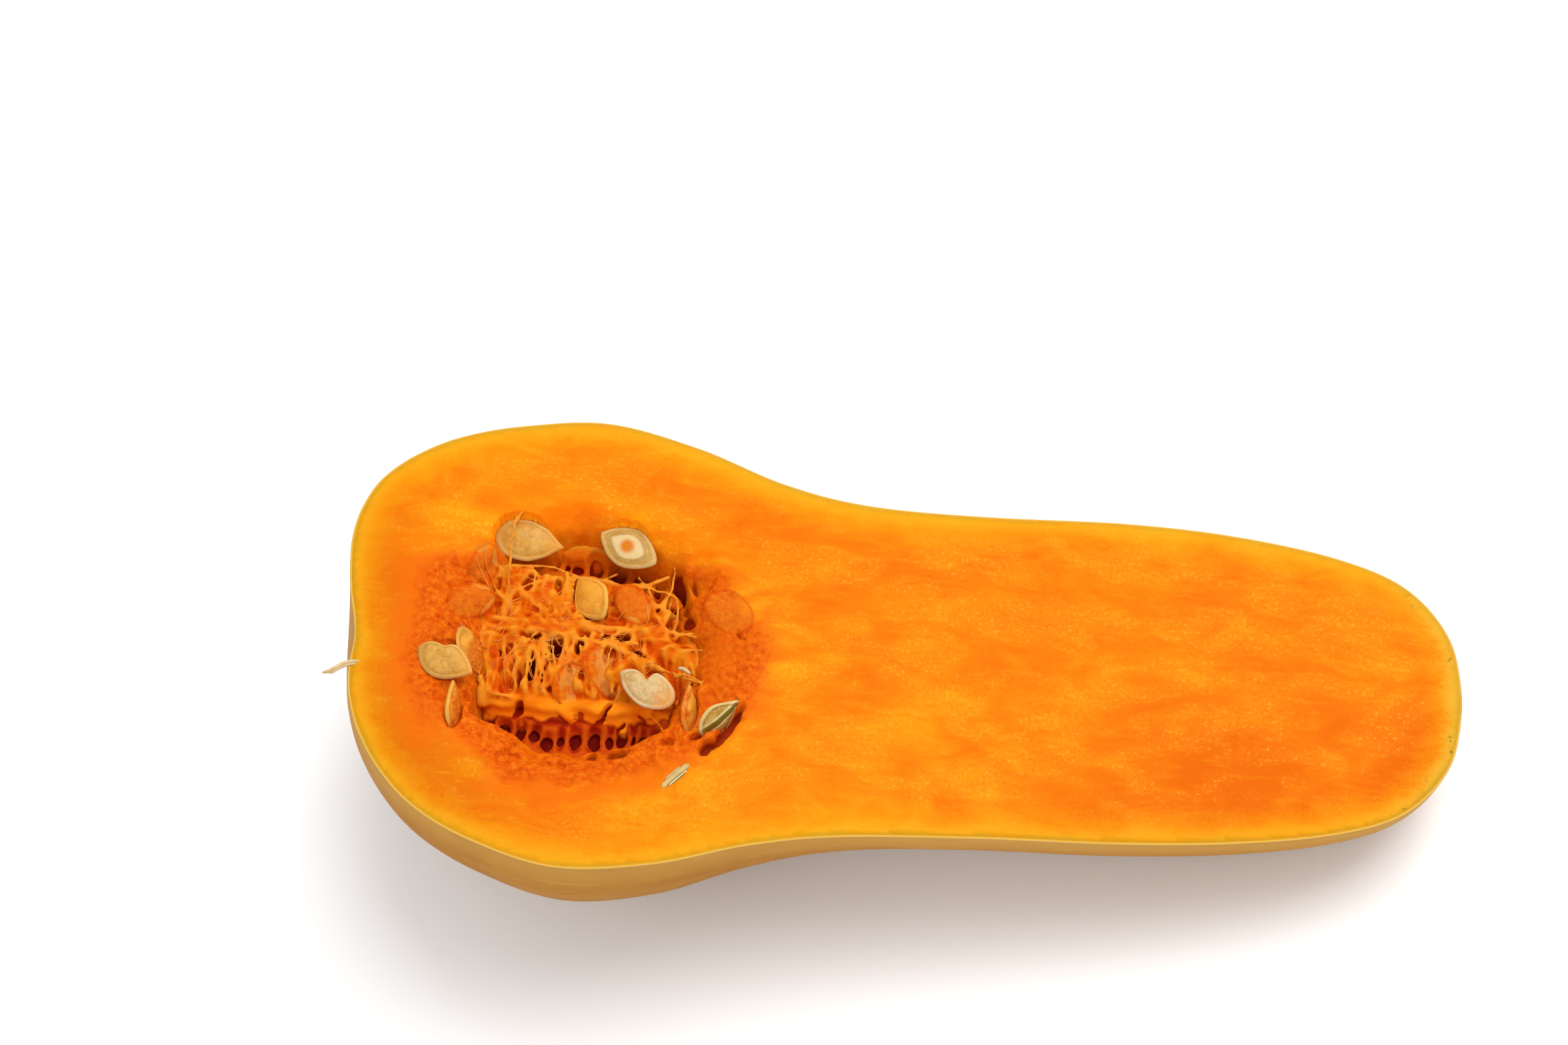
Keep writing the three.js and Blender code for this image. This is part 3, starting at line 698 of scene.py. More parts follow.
def pulp_finish():
    f = Finish("wet seed pulp")
    crest, pale, depth, pit, ghost, flank, shelf = f.attributes(
        "crest", "pale", "depth", "pit", "ghost", "flank", "shelf")
    streaky, patches = f.noise(1.1, 4, 0.68), f.noise(6, 3, 0.6)
    _, y, _ = f.axes()
    # Painted light and shade: the pulp's colours follow how open each point lies, paler on what stands out and darker
    # red in the crevices; the ramps that read lift carry it.
    lift = crest + (streaky - 0.5) * 0.45
    strands = f.coated(
        f.ramp(lift, (0.1, "C03C02"), (0.28, "D85602"), (0.42, "E06204"), (0.54, "E66E08"), (0.7, "EC7E12"),
               (0.9, "F29426")),
        (patches(0.5, 0.64, 0, 0.6), "E24A06"),
        (patches(0.46, 0.34, 0, 0.5), "E68A18"),
        (pale * lift(0.34, 0.62, 0.1, 0.45), "F89E30"),
        (abs(ghost - 0.4)(0.3, 0.0, 0, 0.5), "C03C08"),
        (ghost(0.55, 0.95) * streaky(0.3, 0.6, 0.35, 0.8), "E39440"),
        # Painted shade in the pits below the mat's top.
        (pit * flank(0.6, 0.0), "8E1A04"),
    )
    side = f.ramp(f.noise(4, 3, 0.6, (0.5, 1, 1)), (0.35, "FA7A0C"), (0.5, "FF8A10"), (0.65, "FF981A"))
    # Painted light: the flank's colour is brightened by a quarter; painted shade darkens it where it is least open,
    # under the mat.
    side = f.blend(crest(0.22, 0.06), f.blend(0.25, side, side, "ADD"), "C03C0C")
    # Painted shade: the cells' colours darken with lift, deepest in their holes.
    cells = f.ramp(lift, (0.22, "981A06"), (0.4, "AE2A06"), (0.55, "BE3C06"), (0.72, "D0500C"))
    far_cells = f.ramp(lift, (0.1, "A02206"), (0.3, "DC5204"), (0.5, "E66006"), (0.75, "EC6E0C"))
    cells = f.blend(y(-4, 4), cells, far_cells)
    # The last coat is painted shade: the pulp is darkest near the bottom of the cavity.
    base = f.coated(strands, (flank, side), (shelf, cells), (depth(13.2, 14.8), "6E0C06"))
    relief = f.bumps((streaky, 0.3, 0.6), (f.noise(0.45, 2, 0.6), 0.1, 0.6))
    return f.finished(Base_Color=base, Roughness=streaky(0.3, 0.7, 0.28, 0.46), Normal=relief, Subsurface_Weight=0.15,
                      Subsurface_Radius=(1.0, 0.4, 0.1), Subsurface_Scale=0.0012, Specular_IOR_Level=0.01)


def fibre_finish():
    f = Finish("pulp fibre")
    tones = (0.32, "EC6E0C"), (0.46, "F28014"), (0.58, "F6922C"), (0.72, "F9AE50")
    return f.finished(Base_Color=f.ramp(f.noise(4, 3, 0.6), *tones), Roughness=0.36, Subsurface_Weight=0.4,
                      Subsurface_Radius=(1.0, 0.4, 0.1), Subsurface_Scale=0.001, Coat_Weight=0.1,
                      Coat_Roughness=0.15, Specular_IOR_Level=0.35)


def scrap_finish():
    f = Finish("dry pale skin")
    tone = f.ramp(f.noise(2, 3, 0.6), (0.35, "D8B478"), (0.65, "E8CC9A"))
    return f.finished(Base_Color=tone, Roughness=0.5, Subsurface_Weight=0.2, Subsurface_Radius=(1.0, 0.7, 0.4),
                      Subsurface_Scale=0.001, Specular_IOR_Level=0.15)


SEED_COATS = {  # flat face, shade, rim
    "clean": ("E0A84A", "CE8E34", "E8BE72"),
    "ringed": ("D2A252", "BC8A3C", "E0BC7C"),
    "golden": ("F0A634", "DE8A1E", "F4B450"),
    "white": ("DCBA80", "CCA058", "ECDCB2"),
    "pulpy": ("E4882E", "CE601A", "EE9E48"),
    "split": ("D2A248", "A87E28", "E6CC8C"),
    "sliced": ("C89A44", "8A6A22", "DEC07C"),
    "buried": ("E08430", "C45C18", "EC9C48"),
}


def seed_finish(kind):
    face, shade, rim = SEED_COATS[kind]
    f = Finish(f"seed coat, {kind}")
    rho, across, along, heart, film = f.attributes("rim_share", "across", "along", "heart", "film")
    across = abs(across)
    mottle, fine = f.noise(3.0, 4, 0.65), f.noise(0.7, 3, 0.65)
    marks = {
        "ringed": ((rho(0.62, 0.5, 0, 0.7), "EED49C"), (abs(rho - 0.64)(0.07, 0.0, 0, 0.55), "A89058"),
                   (heart(0.46, 0.18), "DE7C08")),
        "split": ((across(0.36, 0.24), "F0DCA0"), (across(0.26, 0.12), "7C6414")),
        "sliced": ((rho(0.62, 0.4), "A08A34"), (abs(rho - 0.7)(0.06, 0.0), "F2EAC2")),
    }
    base = f.coated(
        f.blend(mottle(0.34, 0.6), shade, face), (fine(0.42, 0.66, 0, 0.4), rim), *marks.get(kind, ()),
        # Painted shade along the groove inside the seed's rim.
        (abs(rho - 0.79)(0.07, 0.01, 0, 0.5), shade), (rho(0.84, 0.94, 0, 0.7), rim),
    )
    if kind in ("clean", "white", "golden"):
        leaning = along + (mottle - 0.5)
        pulp = f.ramp(fine, (0.35, "D04E06"), (0.5, "E06A0C"), (0.65, "F08C28"))
        base = f.coated(
            base, (f.noise(3.2, 4, 0.7)(0.52, 0.66) * 0.45, "EE9434"), (leaning(0.2, 0.95, 0, 0.6), "EA9830"),
            (leaning(-0.45, -0.95, 0, 0.6), "C48C38"), (film * 0.9, pulp),
        )
    relief = f.bumps((mottle, 0.25, 0.5), (fine, 0.08, 0.6))
    return f.finished(Base_Color=base, Roughness=mottle(0.3, 0.7, 0.3, 0.46), Normal=relief, Subsurface_Weight=0.2,
                      Subsurface_Radius=(1.0, 0.6, 0.3), Subsurface_Scale=0.0012, Coat_Weight=0.03,
                      Coat_Roughness=0.1, Specular_IOR_Level=0.08)


def floor_finish():
    return Finish("pale floor").finished(Base_Color=(0.95, 0.95, 0.95, 1), Roughness=0.7, Specular_IOR_Level=0.2)


# ---------------------------------------------------------------- rind and flesh
RIND_GRID = (170, 150)  # stations along the fruit and sides round it
FLESH_GRID = (150, 110)
EASED_EDGE = -0.14  # height of the rind's edge outside its rim, and of the highest points below that edge
EASED_SKIN = -0.45
COARSE_STEP, FINE_STEP = 1.45, 0.46  # between points of the cut face, away from the cavity and in it
FINE_SHARE = 1.12


def scar(points, centre, radius):
    away = np.linalg.norm((points - np.array(centre)), axis=1)
    wander = 1 + 0.18 * noise(points, 2.5, 12)
    return np.clip(1 - away / (radius * wander) * 0.5, 0, 1) * (away < radius * 2)


def make_rind(material):
    """The rind, a thin skin under the flesh, its cut edge eased."""
    outer, faces, outer_loop = cut_skin(*RIND_GRID, 0.0)
    inner, inner_faces, inner_loop = cut_skin(*RIND_GRID, RIND_THICKNESS)
    swell = 0.12 * smoothstep(0, -2, outer[:, 2]) * layered_noise(outer * [0.3, 1, 1], 7, 21)
    outer += swell[:, None] * [0, 0.4, 1]
    outer[:, 2] = np.minimum(outer[:, 2], EASED_SKIN)
    outer[outer_loop, 2] = EASED_EDGE
    corners, hole = outer[outer_loop], inner[inner_loop]
    nearest = hole[((corners[:, None] - hole) ** 2).sum(-1).argmin(1)]
    rim_line = mix(corners, nearest, 0.3)
    rim_line[:, 2] = 0
    points = np.concatenate([outer, inner, rim_line])
    first_inner, first_rim = len(outer), len(outer) + len(inner)
    rim_numbers = np.arange(first_rim, len(points))
    faces += [[first_inner + i for i in face][::-1] for face in inner_faces]
    faces += np.stack([outer_loop, rim_numbers, np.roll(rim_numbers, -1), np.roll(outer_loop, -1)], 1).tolist()
    count = len(hole)
    hole_edges = [(len(corners) + i, len(corners) + (i + 1) % count) for i in range(count)]
    flat_loop, flat_hole = rim_line[:, :2], hole[:, :2]
    triangles = triangulate(flat_loop, flat_hole, hole_edges)
    middles = np.concatenate([flat_loop, flat_hole])[triangles].mean(1)
    number = np.concatenate([rim_numbers, first_inner + inner_loop])
    faces += number[triangles[~inside_loop(middles, flat_hole)]].tolist()
    rim = np.zeros(len(points))
    rim[rim_numbers], rim[first_inner + inner_loop], rim[outer_loop] = 1, 2, 0.35
    return turn_faces_out(make_mesh(
        "tan_rind", points, faces, material, rim=rim,
        stem_scar=scar(points, (LENGTH - 0.5, centre_y(LENGTH), -0.5), 4.2),
        blossom_scar=scar(points, (3.6, BLOSSOM_SCAR_Y, -2.0), 4.5),
    ))


def make_flesh(material):
    """The orange flesh: its outside under the rind, and the cut face with the seed cavity."""
    skin, faces, loop = cut_skin(*FLESH_GRID, RIND_THICKNESS + 0.03)
    outline = skin[loop, :2]
    coarse = hexagonal_points(outline.min(0), outline.max(0), COARSE_STEP)
    fine = hexagonal_points(CAVITY_CENTRE - 45, CAVITY_CENTRE + 45, FINE_STEP)
    inner = np.concatenate([
        coarse[cavity_share(*coarse.T)[0] > FINE_SHARE], fine[cavity_share(*fine.T)[0] <= FINE_SHARE]])
    inner = inner[inside_loop(inner, outline)]
    gap = distance_to_loop(inner, outline)
    inner, gap = inner[gap > 0.9], gap[gap > 0.9]
    height = bedded_seeds(*inner.T, flesh_height(*inner.T) * smoothstep(0.5, 3, gap))
    points = np.concatenate([skin, np.column_stack([inner, height])])
    number = np.concatenate([loop, np.arange(len(skin), len(points))])
    faces += number[triangulate(outline, inner)].tolist()
    x, y, z = points.T
    share, angle = cavity_share(x, y)
    on_top = np.arange(len(points)) >= len(skin)
    on_top[loop] = True
    return turn_faces_out(make_mesh(
        "orange_flesh", points, faces, material,
        skin_gap=np.append(np.zeros(len(skin)), gap),
        margin_gap=np.where(on_top, (share - 1) * cavity_radius(angle), 40),
        depth=np.where(on_top, np.maximum(-z, 0), 0),
        ghost=ghost_seeds(points),
        sunk=hollows_depth(x, y, WALL_HOLLOWS) * on_top / 3,
    ))


# ---------------------------------------------------------------- the pulp
# The strands that show most: radius, then the points they pass.
MAIN_STRANDS = [
    (1.2, (20, 0.5, -3.4), (27, 3.4, -4.2), (35, 5.6, -4.8), (43, 5.4, -5.2), (52, 5, -5.2), (60, 4.6, -5.4)),
    (1.0, (44, 3.4, -5.4), (51, 3, -5.2), (57, 1.4, -5.2), (62, 1, -5.2), (68.4, -1.4, -5.2), (76, -5.2, -4.4)),
    (1.0, (58, 4.8, -5.2), (67, 5.6, -5.4), (76, 6, -5.8), (84, 4.4, -6), (94, 2, -4)),
    (0.8, (66, -0.4, -5.2), (73, -3.2, -5), (79, -6.6, -4), (86, -8.4, -4)),
    (0.8, (37.4, 34, -3), (37.8, 29.6, -0.7), (37.2, 23, -1.4), (37.2, 14, -4.6), (37.6, 6, -5.2)),
    (0.7, (37.6, 29, -0.8), (41, 33.5, 0.7), (44.6, 36.6, 1.7)),
    (0.75, (31, 25, -6), (36, 18.6, -6), (43, 12, -6.2), (50, 5, -5.4)),
    (0.8, (34, 20, -6.4), (41.7, 21, -7), (46.3, 21.5, -7.2), (51, 19.8, -7.4), (59.6, 18, -7.6), (69.4, 18, -7.4),
     (75, 20.6, -6.4)),
    (0.8, (68, 17.8, -7.4), (76, 15.6, -7), (78.4, 9.6, -6.4), (75, 4, -6)),
    (0.7, (84, 27, -6), (82.4, 18, -6.4), (84, 9, -5.6), (88, 1, -5)),
    (0.7, (75.4, 27, -6), (76, 20, -7.4), (74.6, 12, -7)),
    (0.8, (30, -11.4, -5), (35, -13.2, -7), (42, -13.6, -7.6), (48, -12, -7.4), (52, -6, -6.6)),
    (0.7, (66, -3, -6.2), (68.6, -10, -8.6), (77.4, -18.6, -9), (77.6, -28, -6)),
    (0.75, (79, -6.6, -4.2), (82, -7.4, -2.4), (85.6, -9.4, -2.6), (88, -12.6, -3)),
    (0.7, (22, 8, -4), (30.4, 1.8, -4.8), (36, -6, -6.4), (36, -12.6, -7)),
    (0.7, (50.4, 19.6, -7), (51.6, 14, -6), (52.8, 9, -5.8), (56, 5, -5.4)),
    (1.9, (30.6, -3.4, -4.6), (32.6, -7.6, -4.6), (34.2, -11, -5.6), (34.8, -15, -8.6)),
]
# Hollows in the mat: middle X and Y, half sizes along X and Y, turn in degrees, and depth.
MAT_HOLLOWS = [
    (50.6, -0.1, 1.6, 2.1, 0, 4.5), (56.4, -0.5, 1.0, 1.9, 0, 3.6), (45.3, -5.8, 0.7, 3.4, 0, 3.8),
    (40.9, -5.4, 0.6, 2.8, 0, 2), (45.8, 2, 1.4, 0.7, 0, 2), (65.6, 3.1, 2, 1, 15, 3.6),
    (61.9, 2.7, 1.1, 0.7, 0, 2.4), (70.1, -0.6, 2, 0.7, -25, 3.4), (56.3, 8.4, 0.5, 1.7, 30, 2.4),
    (38.2, -5.6, 0.5, 2.6, 0, 1.2), (53.2, -6.2, 1.3, 1.5, 0, 1.4), (42.3, 16.2, 1.3, 2.2, -20, 1.6),
    (34.2, 14.9, 1.7, 2, 0, 1.6), (49.2, 15.6, 0.7, 2.3, 10, 1.6), (72.6, 13.4, 1.1, 1.6, 20, 1.6),
    (48.4, -8.0, 0.5, 2.2, 0, 1.8), (42.9, -9, 0.4, 2.2, 0, 1.8), (68, 6.4, 1.5, 0.6, 30, 1.8),
]
FLANK_HOLLOWS = [
    (43.2, -15, 0.8, 1.6, -30, 2.6), (62.8, -15.9, 0.6, 3.9, -38, 3.2), (67.6, -16.8, 0.4, 1.2, -50, 1.2),
]
# Holes in the cell walls beside the core: middle X and Y, and half sizes.
NEAR_HOLES = [
    (34.8, -17.4, 0.9, 0.9), (36.8, -18.4, 0.8, 1.1), (40.3, -19.8, 1.4, 1.7), (44.2, -20.4, 1.2, 1.9),
    (47.6, -20.4, 1.2, 1.7), (50.8, -22.5, 1.5, 1.9), (53.8, -21.5, 0.7, 1.4), (57.3, -21.2, 1.45, 2.3),
    (61.6, -20.9, 1.5, 2.3), (65.1, -20.8, 0.9, 1.9), (67.9, -19.5, 1.2, 2), (72.9, -20.8, 1.4, 2.3),
    (75.6, -18.7, 1, 1.3), (70.5, -19.6, 0.5, 1.3),
]
FAR_HOLES = [
    (39, 23.8, 1.2, 0.7), (42.4, 24.1, 0.9, 0.7), (46.8, 24.9, 1.5, 1.4), (50, 24.3, 0.7, 0.7), (52.6, 24, 1.3, 1.1),
    (56.9, 24.2, 1.6, 2.2), (62.7, 23.3, 1.7, 2), (68.2, 23, 1.9, 1.9), (72.2, 20.3, 0.9, 2.5),
]
# Hollows in the wall of the cavity: middle X and Y, half sizes along X and Y, turn in degrees, and depth.
WALL_HOLLOWS = [
    (77.4, 19.3, 1.7, 3.9, 20, 4.5), (80.9, 9.6, 1.3, 3, 20, 3.5), (81.5, 18.3, 0.7, 2.4, 20, 2.6),
    (79.9, 13.6, 0.9, 1.8, 20, 2.6), (61.7, -28.4, 1.7, 1.6, 0, 3), (67.7, -28, 2.8, 1.8, 0, 3),
    (55.9, -32.6, 1.1, 1.2, 0, 1.2), (62.5, -32.6, 1.4, 0.8, 0, 1.4), (51.7, -32.4, 1.6, 0.9, 0, 1.2),
    (44.6, -30.7, 2.2, 0.8, -15, 1.4), (79.3, -24.6, 1.6, 0.9, 0, 2), (92.9, -20.6, 6.2, 1.3, 60, 4.5),
    (88.8, -26, 2.6, 1.5, 48, 4), (86.1, -23, 1.6, 1.2, 20, 3), (31.6, -17.4, 0.9, 1.6, 0, 1.6),
    (26.8, -15.4, 2.4, 0.7, 10, 1.2), (93.8, 3.2, 0.6, 1.6, 50, 1.4),
]
PULP_LOW, PULP_HIGH, PULP_STEP = np.array([19.0, -31, -16]), np.array([99, 37, 3.4]), 0.4
OUTSIDE = -9.0  # the fields' value where no tissue is near
MAT_RISE = 1.2  # of the mat's top over the core's
SLAB_TOP = -6.2  # height of the mat over the far cells
PIT_DEPTH = 2.6  # of the holes in the cell walls
# Rounded shoulders at the ends of the mat: middle, and half sizes.
SHOULDERS = [((82.5, -1, -11), (7.5, 12, 5)), ((33, 3, -9.4), (5, 13, 4.2)), ((35, -8, -9), (4, 7, 3.4))]


def cross_strand_lines():
    """Thinner strands that wander out from the middle strands: (radius, points)."""
    draw = park_miller(7)
    lines = []
    count, first, last = 15, 33, 78  # the strands leave the middle between these X
    for i in range(count):
        start = mix(first, last, (i + 0.8 * next(draw)) / count)
        reach = (10 + 7 * next(draw)) * (1 if i % 2 else -1)
        drift, bend = 11 * (next(draw) - 0.5), 4 * (next(draw) - 0.5)
        middle = (start + drift * 0.4 + bend, 3 + reach * 0.5, -6 - 1.2 * next(draw))
        path = [(start, 3, -5.2), middle, (start + drift, 3 + reach, -8.8)]
        lines.append((mix(0.65, 1, next(draw)), path))
    return lines


def fine_strand_lines():
    """Thin strands: columns in the near half, a tangle in the far half, and some along the middle."""
    rng = np.random.default_rng(41)
    lines = []
    for _ in range(22):
        x, lean, lift = rng.uniform(34, 66), rng.normal(0.4, 1.4), rng.uniform(-0.2, 0.7)
        top, foot = rng.uniform(-1.5, 3), rng.uniform(-13, -7)
        middle = (x + lean * 0.5 + rng.normal(0, 0.8), (top + foot) / 2, -6.4 + lift)
        lines.append((rng.uniform(0.22, 0.5), [(x, top, -5.6), middle, (x + lean, foot, -8)]))
    for _ in range(26):
        x, y, turn = rng.uniform(33, 84), rng.uniform(4, 19), rng.uniform(0, np.pi)
        reach, bow = rng.uniform(2, 6), rng.normal(0, 0.25)
        dx, dy = np.cos(turn) * reach, np.sin(turn) * reach
        middle = (x - dy * bow, y + dx * bow, -6.6 + rng.uniform(-0.4, 0.8))
        lines.append((rng.uniform(0.2, 0.45), [(x - dx, y - dy, -8), middle, (x + dx, y + dy, -8)]))
    for _ in range(20):
        x, y, tilt = rng.uniform(24, 90), rng.normal(3, 2.4), rng.normal(0, 0.35)
        reach, lift = rng.uniform(3, 8), rng.uniform(-0.6, 0.5)
        dx, dy = np.cos(tilt) * reach, np.sin(tilt) * reach
        middle = (x, y + rng.normal(0, 0.8), -5.6 + lift)
        lines.append((rng.uniform(0.2, 0.42), [(x - dx, y - dy, -6.4), middle, (x + dx, y + dy, -6.4)]))
    return lines


def mat_relief(x, y):
    """Height in mm that fibres and folds add to the top of the pulp, mostly below 0."""
    columns = ridge_lines(x + 0.12 * y, 0.22 * y, 1.5, 0.24, 71)
    tangle = np.maximum(ridge_lines(x, y, 3.2, 0.17, 72), 0.8 * ridge_lines(x, y, 1.7, 0.2, 73))
    along = ridge_lines(0.24 * x, y + 0.06 * x, 1.5, 0.26, 74)
    near, middle = smoothstep(1.5, -2, y), np.exp(-(((y - 3.6) / 2.6) ** 2))
    ridge = mix(mix(tangle, columns, near), along, middle)
    amount = mix(mix(0.7, 0.75, near), 0.5, middle) * (0.75 + 0.45 * noise(flat(x, y), 6, 75))
    return amount * (ridge - 1) + 0.7 * noise(flat(x, y), 4.5, 77)


class TissueBlock:
    """A block of space for fields that hold how deep each point lies in the tissue, in mm, positive inside."""

    def __init__(self):
        self.shape = tuple(np.ceil((PULP_HIGH - PULP_LOW) / PULP_STEP).astype(int) + 1)
        axes = [low + PULP_STEP * np.arange(n) for low, n in zip(PULP_LOW, self.shape)]
        self.x, self.y, self.z = np.meshgrid(*axes, indexing="ij", sparse=True)
        self.plan_x, self.plan_y = np.meshgrid(*axes[:2], indexing="ij")
        self.strand = np.full(self.shape, OUTSIDE, np.float32)

    def part(self, low, high):
        """The part between two corners: its slices, and its x, y and z."""
        first = np.clip(np.floor((low - PULP_LOW) / PULP_STEP).astype(int), 0, self.shape)
        last = np.clip(np.ceil((high - PULP_LOW) / PULP_STEP).astype(int) + 1, 0, self.shape)
        i, j, k = box = tuple(slice(a, b) for a, b in zip(first, last))
        return box, (self.x[i], self.y[:, j], self.z[:, :, k])

    def add_rod(self, line, radii):
        """Adds a rod to the strands along a line of points, with its own radius at each point."""
        for a, b, ra, rb in zip(line[:-1], line[1:], radii[:-1], radii[1:]):
            reach = max(ra, rb) + 1.3
            box, grids = self.part(np.minimum(a, b) - reach, np.maximum(a, b) + reach)
            offset, span = [grid - start for grid, start in zip(grids, a)], b - a
            t = np.clip(sum(o * s for o, s in zip(offset, span)) / (span @ span), 0, 1)
            away = np.sqrt(sum((o - t * s) ** 2 for o, s in zip(offset, span)))
            self.strand[box] = np.maximum(self.strand[box], ra + (rb - ra) * t - away)

    def seed_depth(self, seed, swell):
        """The part of the block near a seed, and how deep its points lie in the seed's rounded form."""
        at, turn, size = np.array(seed[0]), seed[1], seed[2]
        box, grids = self.part(at - 10, at + 10)
        local = np.stack(np.broadcast_arrays(*(grid - m for grid, m in zip(grids, at))), -1) @ seed_turn(turn)
        half = np.array([size[0] / 2, size[1] / 2, SEED_THICKNESS / 2]) + swell
        return box, (1 - np.sqrt(((local / half)**2).sum(-1))) * half[2]


def slab_share(x, y):
    """Less than 1 inside the far half of the mat, which reaches over the cells beyond the core."""
    return (np.abs((x - 48) / 29.4) ** 2.6 + np.abs((y - 3) / 16.4) ** 2.6) ** (1 / 2.6) + 9 * (y < 3)


def mat_top(x, y):
    """Height of the mat's smooth top, before its folds."""
    spread = sum(np.abs((v - c) / h)**CORE_POWER for v, c, h in zip((x, y), CORE_CENTRE, CORE_HALF))
    core = CORE_CENTRE[2] + CORE_HALF[2] * np.maximum(1 - spread, 0) ** (1 / CORE_POWER) + MAT_RISE
    return np.maximum(core, np.where(slab_share(x, y) < 0.97, SLAB_TOP, -99))


def core_field(x, y, z):
    lx, ly, lz = ((v - c) / h for v, c, h in zip((x, y, z), CORE_CENTRE, CORE_HALF))
    angle = np.arctan2(-ly, lx)
    waver = 1 + 0.05 * np.sin(3 * angle + 0.8) + 0.04 * np.sin(5 * angle + 2.4)
    across = waver * (1 + 0.22 * smoothstep(0.8, 0, lz))
    f = np.abs(lx / waver)**CORE_POWER + np.abs(ly / across)**CORE_POWER + np.abs(lz)**CORE_POWER
    bump = mix(1.5, 0.5, smoothstep(-10, -13, y))
    return (1 - f ** (1 / CORE_POWER)) * 15 + bump * lumps(1.6 * x, 1.6 * y, z)


def shelf_field(block, x_range, y_range, top, holes):
    """A shelf of cell walls beside the core, with a row of blind holes."""
    px, py = block.plan_x, block.plan_y
    wx, wy = (v + 0.3 * noise(flat(px, py), 1.6, seed) for v, seed in ((px, 81), (py, 82)))
    bowl = np.full(px.shape, OUTSIDE)
    for hx, hy, half_x, half_y in holes:
        gap = (1 - np.sqrt(((wx - hx) / half_x)**2 + ((wy - hy) / half_y)**2)) * min(half_x, half_y)
        bowl = np.maximum(bowl, gap)
    sides = (np.minimum(v - low, high - v) for v, (low, high) in ((block.x, x_range), (block.y, y_range)))
    sag = 1.3 * smoothstep(-1.4, -0.1, bowl)
    shelf = np.minimum(np.minimum(*sides), (top - sag)[..., None] - block.z)
    return np.minimum(shelf, -np.minimum(bowl[..., None], block.z - (top - PIT_DEPTH)[..., None]))


def pulp_body(block):
    """The field of the pulp's core with its folds and hollows, and of the mat over the far cells."""
    px, py = block.plan_x, block.plan_y
    slab = np.clip(17 * (1 - slab_share(px, py)), -9, 9) + noise(flat(px, py), 3.5, 76)
    slab = smooth_least(slab[..., None], np.minimum(SLAB_TOP - block.z, block.z + 12.5), 0.8)
    for middle, half in SHOULDERS:
        away = sum(((v - m) / h)**2 for v, m, h in zip((block.x, block.y, block.z), middle, half))
        shoulder = (1 - np.sqrt(away)) * min(half)
        slab = smooth_most(slab, shoulder + 0.7 * noise(flat(px, py), 3, 78)[..., None], 1.0)
    core = core_field(block.x, block.y, block.z) + MAT_RISE * smoothstep(-12, -9, block.z)
    upper = smoothstep(-13.5, -10, block.z) * smoothstep(-13.4, -11.8, block.y)
    flank = smoothstep(-12, -14, block.y) * smoothstep(-15.5, -14, block.z)
    body = smooth_most(core, slab, 1.2) + (mat_relief(px, py) - hollows_depth(px, py, MAT_HOLLOWS))[..., None] * upper
    return body - hollows_depth(px, py, FLANK_HOLLOWS)[..., None] * flank


def add_strands(block):
    rods = [(r * 0.6, pts, 0.5) for r, *pts in MAIN_STRANDS]
    rods += [(r * 0.45, pts, 0.5) for r, pts in cross_strand_lines()]
    rods += [(r, pts, 0.4) for r, pts in fine_strand_lines()]
    for count, (radius, pts, sway) in enumerate(rods):
        line = bent_line(pts)
        line = line + sway * np.stack([noise(line, 2.2, 200 + 3 * count + k) for k in range(3)], 1)
        top = mat_top(line[:, 0], line[:, 1])
        laid = top - 0.25 + 0.35 * noise(line, 3, 40 + count)
        line[:, 2] = mix(line[:, 2], laid, smoothstep(3, 1.4, abs(line[:, 2] - top)))
        t = np.linspace(-1, 1, len(line))
        block.add_rod(line, radius * (0.7 + 0.5 * t**4) * (1 + 0.3 * noise(line, 1.5, 900 + count)))


def pulp_tissue():
    """The pulp as a block, the field of the whole, and how far the cells stand out from the core."""
    block = TissueBlock()
    px, py = block.plan_x, block.plan_y
    body = pulp_body(block)
    for seed in SEEDS:
        if seed[3] in COVERED:
            box, deep = block.seed_depth(seed, FILM)
            body[box] = smooth_most(body[box], deep, 0.5)
    near = shelf_field(block, (31, 80), (-30, -14), -12.2 - 0.08 * (py + 21) + 0.2 * np.sin(px), NEAR_HOLES)
    far = shelf_field(block, (35, 80), (15, 33), -11.7 + 0.5 * np.maximum(py - 23.5, 0), FAR_HOLES)
    cells = np.maximum(near, far)
    add_strands(block)
    whole = smooth_most(np.maximum(body, cells), block.strand, 1.4)
    bottom = cut_height(px, py) - 1.4
    bottom = mix(bottom, np.minimum(bottom, TRENCH_FLOOR - 0.4), trench_share(px, py))
    whole = np.minimum(whole, block.z - bottom[..., None])
    whole = np.minimum(whole, ((1.03 - cavity_share(px, py)[0]) * CAVITY_RADIUS)[..., None])
    for seed in SEEDS:
        if seed[3] not in COVERED:
            box, deep = block.seed_depth(seed, 0.05)
            whole[box] = np.minimum(whole[box], -deep)
    for side in (0, -1):
        whole[side] = whole[:, side] = whole[:, :, side] = -1
    return block, whole.astype(np.float32), cells - body


